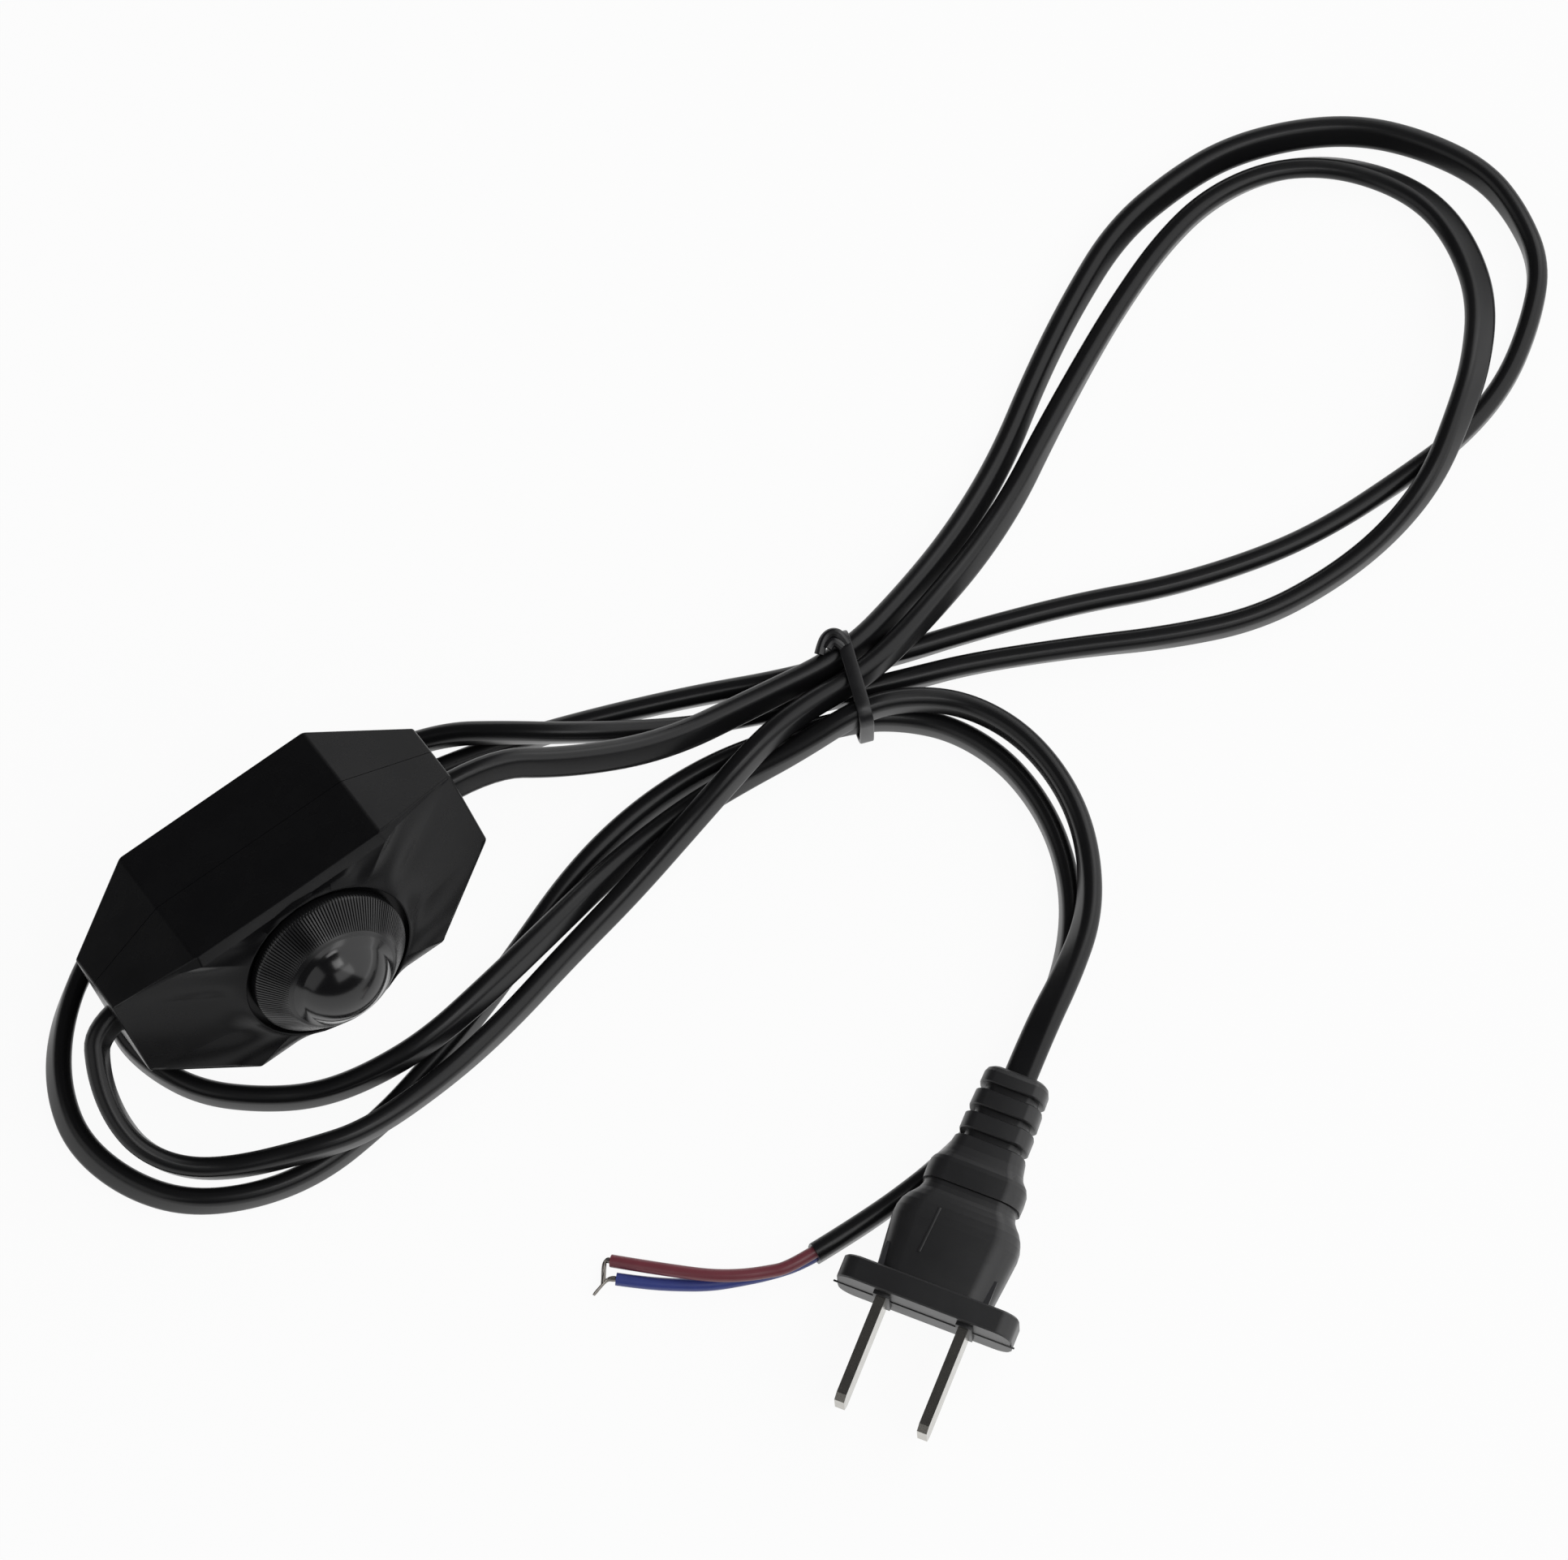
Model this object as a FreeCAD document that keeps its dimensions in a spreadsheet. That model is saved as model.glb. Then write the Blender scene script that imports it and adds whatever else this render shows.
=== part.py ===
import FreeCAD, Part
import math
import os
import re
import Sketcher

# Inline rotary lamp dimmer on a flat two-core cord, with a moulded plug on the
# supply end, a stripped tail on the lamp end, and the cord tied in a loose hank.
# Frame: +Z up, +X along the dimmer towards its supply end, origin on the floor
# under the middle of the dimmer, which lies on its long side.

Vec = FreeCAD.Vector

# Driving dimensions, millimetres and degrees
SIZES = {
    # dimmer casing, knob axis = z, parting plane = 0
    "case_length": 59.0, "case_mid": 32.0,
    "case_width": 27.6, "case_end_width": 16.0,
    "case_high": 24.4, "case_end_high": 11.8,
    "case_wall": 1.8, "case_gap": 0.1,
    "mound_rise": 3.2, "rim_radius": 13.3, "well_radius": 12.8, "well_floor": 1.2, "floor_wall": 1.8,
    # how the casing lies
    "case_pitch": 6.1, "case_roll": 65.6, "case_x": 0.0, "case_y": 2.85, "case_z": 19.21,
    # knob
    "skirt_radius": 12.45, "skirt_high": 3.1, "skirt_lift": 0.4,
    "ring_radius": 8.3, "ring_rise": 2.4, "dome_rise": 4.6, "knob_wall": 1.6,
    "dome_edge": 0.7, "hub_radius": 4.2, "shaft_fit": 0.1,
    # potentiometer with its switch
    "shaft_radius": 3.0, "shaft_grip": 6.7, "shaft_start": 1.5,
    "bushing_radius": 3.5, "nut_across": 10.0, "nut_thick": 1.8, "washer_radius": 5.6, "washer_thick": 0.5,
    "pot_radius": 8.0, "pot_deep": 6.2, "switch_radius": 7.6, "switch_deep": 5.6,
    "terminal_wide": 1.2, "terminal_thick": 0.6, "terminal_pitch": 5.0,
    "pot_fit": 0.4,
    # circuit board and parts
    "board_end": 1.5, "board_side": 0.7, "board_thick": 1.6, "board_gap": 0.3,
    "triac_length": 9.2, "triac_width": 10.0, "triac_thick": 3.2, "tab_length": 6.0, "tab_thick": 1.3,
    "leg_pitch": 2.54, "leg_thick": 0.7, "leg_length": 3.0,
    "sink_length": 20.0, "sink_width": 12.0, "sink_thick": 1.5,
    "choke_radius": 4.5, "choke_core": 1.5, "choke_wire": 0.7, "choke_gap": 2.0,
    "film_length": 13.0, "film_thick": 4.6, "film_high": 9.0,
    "timer_length": 7.2, "timer_thick": 2.6, "timer_high": 5.4, "timer_x": -4.0, "timer_space": 1.2,
    "resistor_radius": 1.15, "resistor_length": 6.3, "lead_radius": 0.3, "lead_reach": 1.8,
    "resistor_x": 6.4, "side_space": 1.6, "wire_drop": 0.3,
    "diac_radius": 0.95, "diac_length": 4.0, "diac_x": 6.0,
    "fuse_side": 0.8, "fuse_length": 9.0, "fuse_space": 0.4,
    # clamps and screws
    "clamp_inset": 4.3, "clamp_wide": 2.4, "clamp_long": 13.0, "clamp_thick": 1.4,
    "clamp_screw_y": 4.6, "clamp_screw_radius": 0.9, "clamp_head_radius": 1.7, "clamp_head_thick": 1.0,
    "clamp_screw_length": 5.6, "post_radius": 1.9,
    "screw_x": 17.2, "screw_y": 8.6, "screw_radius": 1.25, "screw_head_radius": 2.3, "screw_head_thick": 1.6,
    "boss_radius": 2.6, "screw_length": 16.0, "screw_sink": 3.0, "screw_fit": 0.1,
    # clearance of pieces that sit on each other
    "seat": 0.02,
    # cord and its cores
    "cord_radius": 2.0, "cord_fit": 0.05, "core_radius": 0.9, "core_offset": 1.1, "strand_radius": 0.45,
    "wire_radius": 0.75,
    "supply_start": 22.0, "supply_bend": 35.0, "output_start": 24.4, "output_bend": 32.4,
    # plug, blades towards +x, front face = 0
    "plug_x": 42.9, "plug_y": -98.0, "plug_z": 7.4, "plug_heading": -146.2, "plug_pitch": 4.2,
    "flange_wide": 28.0, "flange_high": 10.4, "flange_deep": 3.6, "flange_corner": 4.0,
    "body_wide": 19.3, "body_high": 10.2, "body_deep": 13.4, "body_corner": 4.2,
    "waist_wide": 14.2, "waist_high": 8.8, "waist_deep": 1.6,
    "collar_wide": 14.8, "collar_high": 9.2, "collar_deep": 4.6, "collar_corner": 3.0,
    "relief_wide": 10.8, "relief_end_wide": 9.8, "relief_high": 8.4, "relief_deep": 14.2,
    "relief_corner": 2.6, "groove_wide": 1.0, "groove_deep": 1.1,
    "blade_pitch": 12.7, "blade_wide": 6.35, "blade_thick": 1.5, "blade_out": 16.8, "blade_in": 7.0,
    "blade_bevel": 1.0,
    "bridge_deep": 6.0, "bridge_wide": 17.0, "bridge_high": 7.6, "bridge_from": 1.4,
    "crimp_radius": 1.4, "crimp_length": 4.6, "crimp_space": 0.6,
    "room_wide": 5.8, "room_high": 2.6,
    "cord_in_plug": 2.9, "cord_bend_plug": 7.6,
    # tie round the hank
    "tie_x": 89.3, "tie_y": -12.8, "tie_heading": -18.9, "tie_wide": 1.9, "tie_thick": 0.9,
    "tie_half": 7.25, "tie_low": 1.0, "tie_top": 10.25, "tie_corner": 2.3, "tie_tail": 0.75,
    "strand_step": 4.5, "layer_low": 3.3, "layer_high": 7.8,
    # floor level of the cord's centre line
    "cord_floor": 2.05,
}

doc = FreeCAD.newDocument("lamp_dimmer_cord")
sheet = doc.addObject("Spreadsheet::Sheet", "sizes")
for row, (alias, number) in enumerate(SIZES.items(), 1):
    sheet.set("A%d" % row, alias)
    sheet.set("B%d" % row, str(number))
    sheet.setAlias("B%d" % row, alias)
doc.recompute()

PIECES = []


def size(alias):
    return float(sheet.get(alias))


def named(text):
    # every alias in an expression is read from the sheet
    return re.sub(r"[a-z][a-z_]*", lambda m: "sizes." + m.group() if m.group() in SIZES else m.group(), text)


def bind(thing, **expressions):
    for prop, text in expressions.items():
        thing.setExpression(prop.replace("__", "."), named(str(text)))
    return thing


def put(thing, x="0", y="0", z="0"):
    return bind(thing, Placement__Base__x=x, Placement__Base__y=y, Placement__Base__z=z)


AXES = {"x": FreeCAD.Rotation(Vec(0, 1, 0), 90), "z": FreeCAD.Rotation()}


def block(dims, centre, low_z=False):
    # box centred on x and y, and on z unless it stands on its z
    box = bind(doc.addObject("Part::Box", "block"), Length=dims[0], Width=dims[1], Height=dims[2])
    z = centre[2] if low_z else "(%s) - (%s) / 2" % (centre[2], dims[2])
    return put(box, "(%s) - (%s) / 2" % (centre[0], dims[0]), "(%s) - (%s) / 2" % (centre[1], dims[1]), z)


def rod(radius, length, start, axis="z"):
    bar = bind(doc.addObject("Part::Cylinder", "rod"), Radius=radius, Height=length)
    bar.Placement.Rotation = AXES[axis]
    return put(bar, *start)


def cone(low_radius, top_radius, length, start):
    body = bind(doc.addObject("Part::Cone", "cone"), Radius1=low_radius, Radius2=top_radius, Height=length)
    return put(body, *start)


def fuse(*things):
    joined = doc.addObject("Part::MultiFuse", "fuse")
    joined.Shapes = list(things)
    return joined


def common(first, second):
    both = doc.addObject("Part::Common", "common")
    both.Base, both.Tool = first, second
    return both


def cut(base, *tools):
    left = doc.addObject("Part::Cut", "cut")
    left.Base = base
    left.Tool = tools[0] if len(tools) == 1 else fuse(*tools)
    return left


def gathered(*things):
    pack = doc.addObject("Part::Compound", "gathered")
    pack.Links = list(things)
    return pack


def rounded(thing, radius, chosen):
    # fillet on the edges that the rule picks by direction
    doc.recompute()
    corner = doc.addObject("Part::Fillet", "rounded")
    corner.Base = thing
    corner.Edges = [(n, radius, radius) for n, edge in enumerate(thing.Shape.Edges, 1) if chosen(edge)]
    return corner


def along(axis):
    def rule(edge):
        step = edge.Vertexes[-1].Point - edge.Vertexes[0].Point
        others = [abs(getattr(step, letter)) for letter in "xyz" if letter != axis]
        return max(others) < 1e-6 < abs(getattr(step, axis))
    return rule


def solid(shape):
    # a shape that neither a sketch nor a primitive gives
    feature = doc.addObject("Part::Feature", "solid")
    feature.Shape = shape
    return feature


def piece(label, thing, place=None):
    thing.Label = label
    if place is not None:
        thing.Placement = place
    PIECES.append(thing)
    return thing


def polygon(sketch, corners):
    # closed outline, each corner tied to the sheet by its two distances
    first = sketch.GeometryCount
    count = len(corners)
    for n in range(count):
        a, b = 2 * math.pi * n / count, 2 * math.pi * (n + 1) / count
        start, end = Vec(math.cos(a), math.sin(a), 0), Vec(math.cos(b), math.sin(b), 0)
        sketch.addGeometry(Part.LineSegment(start, end), False)
    for n in range(count):
        sketch.addConstraint(Sketcher.Constraint("Coincident", first + n, 2, first + (n + 1) % count, 1))
    for n, corner in enumerate(corners):
        for kind, text in zip(("DistanceX", "DistanceY"), corner):
            at = sketch.addConstraint(Sketcher.Constraint(kind, -1, 1, first + n, 1, 1.0))
            sketch.setExpression("Constraints[%d]" % at, named(text))


def prism(corners, plane, length):
    # sketch on a plane through the origin, drawn out evenly to both sides
    sketch = doc.addObject("Sketcher::SketchObject", "outline")
    if plane == "xz":
        sketch.Placement = FreeCAD.Placement(Vec(), FreeCAD.Rotation(Vec(1, 0, 0), 90))
    polygon(sketch, corners)
    drawn = doc.addObject("Part::Extrusion", "prism")
    drawn.Base = sketch
    drawn.DirMode = "Normal"
    drawn.Solid = True
    drawn.Symmetric = True
    return bind(drawn, LengthFwd=length)


# Places of the three assemblies
case_place = FreeCAD.Placement(
    Vec(size("case_x"), size("case_y"), size("case_z")),
    FreeCAD.Rotation(0, -size("case_pitch"), size("case_roll")))
plug_place = FreeCAD.Placement(
    Vec(size("plug_x"), size("plug_y"), size("plug_z")),
    FreeCAD.Rotation(size("plug_heading"), size("plug_pitch"), 0))
tie_place = FreeCAD.Placement(
    Vec(size("tie_x"), size("tie_y"), 0), FreeCAD.Rotation(size("tie_heading"), 0, 0))


# Casing: two shells with sloped ends, split at mid height
def octagon(length, mid, deep, end_deep):
    half, flat, side, end = ("(%s) / 2" % text for text in (length, mid, deep, end_deep))
    rows = [(half, end), (flat, side), ("-" + flat, side), ("-" + half, end)]
    return rows + [(x, "-" + y) for x, y in reversed(rows)]


def tapered(inset):
    # plan outline and side outline, both drawn in by the wall
    less = " - 2 * (%s)" % inset
    plan = octagon("case_length" + less, "case_mid", "case_width" + less, "case_end_width" + less)
    side = octagon("case_length" + less, "case_mid", "case_high" + less, "case_end_high" + less)
    return common(prism(plan, "xy", "case_high + case_width"), prism(side, "xz", "case_high + case_width"))


def ruled_mound(base_z, top_z, radius):
    # four straight edges of the flat top drawn up to four quarter arcs
    across, deep = size("case_mid") / 2, size("case_width") / 2
    spots = [Vec(across, -deep, base_z), Vec(across, deep, base_z), Vec(-across, deep, base_z),
             Vec(-across, -deep, base_z)]
    low = [Part.makeLine(spots[n], spots[(n + 1) % 4]) for n in range(4)]
    high = []
    for n in range(4):
        turns = [math.radians(90 * n + step) for step in (-45, 0, 45)]
        ring = [Vec(radius * math.cos(turn), radius * math.sin(turn), top_z) for turn in turns]
        high.append(Part.Arc(*ring).toShape())
    return Part.makeLoft([Part.Wire(low), Part.Wire(high)], True, True)


top = "case_high / 2"
rim = top + " + mound_rise"
well = top + " + well_floor"
under_floor = "(%s - floor_wall)" % well
half_span = "case_length + case_width"
mound_top = size("case_high") / 2 + size("mound_rise")
mound = solid(ruled_mound(size("case_high") / 2, mound_top, size("rim_radius")))
end_holes = [rod("cord_radius + cord_fit", "case_length + 2", ("-(case_length + 2) / 2", "0", "0"), "x")]
boss_spots = [("%sscrew_x" % a, "%sscrew_y" % b) for a in ("", "-") for b in ("", "-")]
clamp_x = "(case_length / 2 - clamp_inset)"
clamp_ends = (clamp_x, "-" + clamp_x)

upper_half = block((half_span, half_span, "case_high"), ("0", "0", "case_gap / 2"), True)
lower_half = block((half_span, half_span, "case_high"), ("0", "0", "-case_high - case_gap / 2"), True)
upper_bosses = common(
    fuse(*[rod("boss_radius", top, (x, y, "case_gap / 2")) for x, y in boss_spots]), tapered("case_wall / 2"))
upper_shell = fuse(cut(common(tapered("0"), upper_half), tapered("case_wall")), upper_bosses, mound)
piece("upper_casing", cut(
    upper_shell,
    rod("well_radius", "case_high", ("0", "0", well)),
    rod("pot_radius + pot_fit", under_floor, ("0", "0", "0")),
    rod("bushing_radius + case_gap", "case_high", ("0", "0", "0")),
    *[rod("screw_radius", "screw_length - case_high / 2 + screw_sink", (x, y, "0")) for x, y in boss_spots],
    *end_holes), case_place)

boss_floor = "-" + top
head_low = "-case_high / 2 - screw_head_thick"
lower_bosses = common(
    fuse(*[rod("boss_radius", top + " - case_gap / 2", (x, y, boss_floor)) for x, y in boss_spots],
         *[rod("post_radius", top + " - case_gap / 2", (x, "%sclamp_screw_y" % sign, boss_floor))
           for x in clamp_ends for sign in ("", "-")]), tapered("case_wall / 2"))
lower_shell = fuse(cut(common(tapered("0"), lower_half), tapered("case_wall")), lower_bosses)
piece("lower_casing", cut(
    lower_shell,
    *[rod("screw_radius + screw_fit", "case_high", (x, y, boss_floor)) for x, y in boss_spots],
    *[rod("screw_head_radius + screw_fit", "screw_sink + screw_head_thick", (x, y, head_low))
      for x, y in boss_spots],
    *[rod("clamp_screw_radius", "clamp_screw_length", (x, "%sclamp_screw_y" % sign, "-clamp_screw_length"))
      for x in clamp_ends for sign in ("", "-")],
    *end_holes), case_place)

# Case screws come up through the base
head_z = head_low + " + screw_sink"
piece("case_screws", gathered(*[
    fuse(rod("screw_head_radius", "screw_head_thick", (x, y, head_z)),
         rod("screw_radius - seat", "screw_length", (x, y, head_z))) for x, y in boss_spots]), case_place)

# Knob: knurled skirt and polished dome on a hub
skirt_z = well + " + skirt_lift"
ring_z = skirt_z + " + skirt_high"
dome_z = ring_z + " + ring_rise"
dome_foot = "(ring_radius - dome_edge)"
cap_radius = "(%s * %s + dome_rise * dome_rise) / (2 * dome_rise)" % (dome_foot, dome_foot)
ball = bind(doc.addObject("Part::Sphere", "ball"), Radius=cap_radius)
put(ball, "0", "0", "%s + dome_rise - %s" % (dome_z, cap_radius))
dome = common(ball, rod("ring_radius", "dome_rise * 1.2", ("0", "0", dome_z + " - dome_rise * 0.1")))
knob_blank = fuse(rod("skirt_radius", "skirt_high", ("0", "0", skirt_z)),
                  cone("skirt_radius", "ring_radius", "ring_rise", ("0", "0", ring_z)), dome)
knob_room = cut(rod("skirt_radius - knob_wall", "skirt_high - skirt_lift", ("0", "0", skirt_z)),
                rod("hub_radius", "case_high", ("0", "0", "0")))
nut_room = rod("nut_across / 2 / cos(30) + pot_fit", "nut_thick + washer_thick + pot_fit", ("0", "0", well))
shaft_top = ring_z + " + shaft_grip - skirt_high"
piece("dimmer_knob", cut(knob_blank, knob_room, nut_room,
                         rod("shaft_radius + seat", shaft_top + " + shaft_fit", ("0", "0", "0"))), case_place)

# Potentiometer: threaded bushing through the floor, rotary track housing and the switch behind it
pot_top = under_floor + " - case_gap"
pot_low = pot_top + " - pot_deep"
switch_low = pot_low + " - switch_deep"
shaft_from = pot_low + " + shaft_start"
piece("pot_shaft", gathered(rod("shaft_radius", "%s - (%s)" % (shaft_top, shaft_from),
                                ("0", "0", shaft_from))), case_place)
bore = rod("shaft_radius + shaft_fit", "case_high * 2", ("0", "0", shaft_from + " - shaft_fit"))
piece("pot_bushing", cut(rod("bushing_radius", "floor_wall + case_gap + washer_thick + nut_thick",
                             ("0", "0", pot_top)), bore), case_place)
bushing_hole = rod("bushing_radius + seat", "case_high", ("0", "0", "0"))
piece("bushing_washer", cut(rod("washer_radius", "washer_thick - 2 * seat", ("0", "0", well + " + seat")),
                            bushing_hole), case_place)
nut = bind(doc.addObject("Part::Prism", "nut"), Circumradius="nut_across / 2 / cos(30)",
           Height="nut_thick - seat")
nut.Polygon = 6
put(nut, "0", "0", well + " + washer_thick")
piece("bushing_nut", cut(nut, bushing_hole), case_place)
piece("pot_housing", cut(rod("pot_radius", "pot_deep", ("0", "0", pot_low)), bore), case_place)
piece("switch_housing", gathered(rod("switch_radius", "switch_deep - seat", ("0", "0", switch_low))),
      case_place)

# Circuit board under the switch
board_top = "(%s - board_gap)" % switch_low
board_low = "(%s - board_thick)" % board_top
board_length, board_width = "(case_mid - 2 * board_end)", "(case_width - 2 * case_wall - 2 * board_side)"
notches = [rod("boss_radius + pot_fit", "board_thick * 3", (x, y, board_low + " - board_thick"))
           for x, y in boss_spots]
board = cut(block((board_length, board_width, "board_thick"), ("0", "0", board_low), True), *notches)
piece("circuit_board", board, case_place)
piece("pot_terminals", gathered(*[
    block(("terminal_wide", "terminal_thick", "pot_deep / 2 + switch_deep + board_gap"),
          ("%d * terminal_pitch" % n, "-pot_radius - terminal_thick / 2 - seat", board_top + " + seat"), True)
    for n in (-1, 0, 1)]), case_place)

# Triac and its heat plate lie under the board
plate_top = board_low + " - triac_thick - tab_thick - case_gap"
piece("heat_plate", gathered(block(("sink_length", "sink_width", "sink_thick"),
                                   ("0", "0", plate_top + " - sink_thick"), True)), case_place)
tab_z = plate_top + " + seat"
piece("triac_tab", gathered(block(("triac_length + tab_length", "triac_width", "tab_thick"),
                                  ("0", "0", tab_z), True)), case_place)
body_z = tab_z + " + tab_thick + seat"
body_x = "(tab_length / 2)"
piece("triac_body", gathered(block(("triac_length", "triac_width", "triac_thick - case_gap"),
                                   (body_x, "0", body_z), True)), case_place)
leg_x = "(%s + triac_length / 2 + leg_length / 2 + seat)" % body_x
leg_z = body_z + " + leg_thick"
piece("triac_legs", gathered(*[
    fuse(block(("leg_length", "leg_thick", "leg_thick"),
               (leg_x, "%d * leg_pitch" % n, leg_z), True),
         block(("leg_thick", "leg_thick", "triac_thick - leg_thick - case_gap"),
               (leg_x + " + leg_length / 2 - leg_thick / 2", "%d * leg_pitch" % n, leg_z), True))
    for n in (-1, 0, 1)]), case_place)

# Choke: a wound ring standing at the output end of the board
choke_x = "-(%s / 2 - choke_core - choke_wire - board_gap)" % board_length
choke_z = board_top + " + choke_radius + choke_wire + seat"


def ring_of(radius, section):
    ring = bind(doc.addObject("Part::Torus", "ring"), Radius1=radius, Radius2=section)
    ring.Placement.Rotation = AXES["x"]
    return put(ring, choke_x, "0", choke_z)


piece("choke_core", gathered(ring_of("choke_radius - choke_core", "choke_core")), case_place)
coil = cut(ring_of("choke_radius - choke_core", "choke_core + choke_wire"),
           ring_of("choke_radius - choke_core", "choke_core + seat"),
           block(("choke_radius * 2", "choke_gap", "choke_radius * 2"),
                 (choke_x, "0", choke_z + " + choke_radius")))
piece("choke_winding", coil, case_place)

# Film capacitor at the supply end, timing capacitor beside the triac
film_x = "(pot_radius + pot_fit + film_thick / 2)"
piece("film_capacitor", gathered(block(("film_thick", "film_length", "film_high"),
                                       (film_x, "0", board_top + " + seat"), True)), case_place)
timer_y = "(triac_width / 2 + timer_thick / 2 + timer_space)"
piece("timing_capacitor", gathered(block(
    ("timer_length", "timer_thick", "timer_high"),
    ("timer_x", timer_y, board_low + " - timer_high - seat"), True)), case_place)


def axial(radius, length, x, y):
    # body with two bent leads, hung under the board
    drop = board_low + " - %s - wire_drop" % radius
    reach = "(%s) / 2 + lead_reach" % length
    body = rod(radius, length, ("%s - (%s) / 2" % (x, length), y, drop), "x")
    wire = rod("lead_radius", "(%s) * 2" % reach, ("%s - (%s)" % (x, reach), y, drop), "x")
    feet = [block(("lead_radius * 1.4", "lead_radius * 1.4", "%s + wire_drop - seat" % radius),
                  ("%s %s (%s - lead_radius)" % (x, sign, reach), y, drop), True) for sign in "+-"]
    return fuse(body, wire, *feet)


side_y = "-(triac_width / 2 + resistor_radius + side_space)"
piece("resistors", gathered(axial("resistor_radius", "resistor_length", "-resistor_x", side_y),
                            axial("resistor_radius", "resistor_length", "resistor_x", side_y)), case_place)
piece("diac", gathered(axial("diac_radius", "diac_length", "diac_x", timer_y)), case_place)

# Thermal fuse lies beside the switch on the board
fuse_radius = "((case_width / 2 - case_wall - switch_radius - fuse_space - fuse_side) / 2)"
fuse_y = "(switch_radius + %s + fuse_space)" % fuse_radius
piece("thermal_fuse", gathered(rod(fuse_radius, "fuse_length",
                                   ("-fuse_length / 2", fuse_y, "%s + %s + seat" % (board_top, fuse_radius)), "x")),
      case_place)

# Cord clamps: a bar over each cord end, two screws each
clamp_z = "(cord_radius + cord_fit)"
for label, x in zip(("supply_clamp", "output_clamp"), clamp_ends):
    bar = block(("clamp_wide", "clamp_long", "clamp_thick"), (x, "0", clamp_z), True)
    holes = [rod("clamp_screw_radius + screw_fit", "case_high / 2", (x, "%sclamp_screw_y" % sign, "0"))
             for sign in ("", "-")]
    piece(label, cut(bar, *holes), case_place)
    piece(label + "_screws", gathered(*[
        fuse(rod("clamp_head_radius", "clamp_head_thick",
                 (x, "%sclamp_screw_y" % sign, clamp_z + " + clamp_thick + seat")),
             rod("clamp_screw_radius - seat", "clamp_screw_length + clamp_thick",
                 (x, "%sclamp_screw_y" % sign, clamp_z + " - clamp_screw_length + cord_radius / 4")))
        for sign in ("", "-")]), case_place)


# Tubes: straight runs joined by tangent arcs, each arc as large as its two runs allow
def rounded_path(points):
    points = [Vec(*p) for p in points]
    edges, radii, start = [], [], points[0]
    for before, here, after in zip(points, points[1:], points[2:]):
        back, on = before - here, after - here
        reach = 0.45 * min(back.Length, on.Length)
        back.normalize()
        on.normalize()
        half = back.getAngle(on) / 2
        radius = reach * math.tan(half)
        middle = back + on
        middle.normalize()
        middle = here + middle * (radius / math.sin(half) - radius)
        first, last = here + back * reach, here + on * reach
        edges.append(Part.LineSegment(start, first).toShape())
        edges.append(Part.Arc(first, middle, last).toShape())
        radii.append(radius)
        start = last
    edges.append(Part.LineSegment(start, points[-1]).toShape())
    return Part.Wire(edges), radii


def tube(points, radius):
    path, radii = rounded_path(points)
    ahead = Vec(*points[1]) - Vec(*points[0])
    circle = Part.Wire([Part.makeCircle(radius, Vec(*points[0]), ahead)])
    shape = path.makePipeShell([circle], True, False)
    return shape, path, radii


def measured_tube(label, points, radius):
    shape, path, radii = tube(points, radius)
    expected = math.pi * radius * radius * path.Length
    print("%s: length %.1f mm, volume / (section x length) %.4f, least radius %.1f mm" % (
        label, path.Length, shape.Volume / expected, min(radii)))
    print("   radii " + " ".join("%.0f" % r for r in radii))
    piece(label, solid(shape))
    return path


def on_case(x):
    return tuple(case_place.multVec(Vec(x, 0, 0)))


def on_plug(behind):
    return tuple(plug_place.multVec(Vec(-behind, 0, 0)))


def at_tie(step, level):
    spot = tie_place.multVec(Vec(0, step * size("strand_step"), size(level)))
    return (spot.x, spot.y, spot.z)


floor = size("cord_floor")
relief_end = sum(size(name + "_deep") for name in ("flange", "body", "waist", "collar", "relief"))

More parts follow.
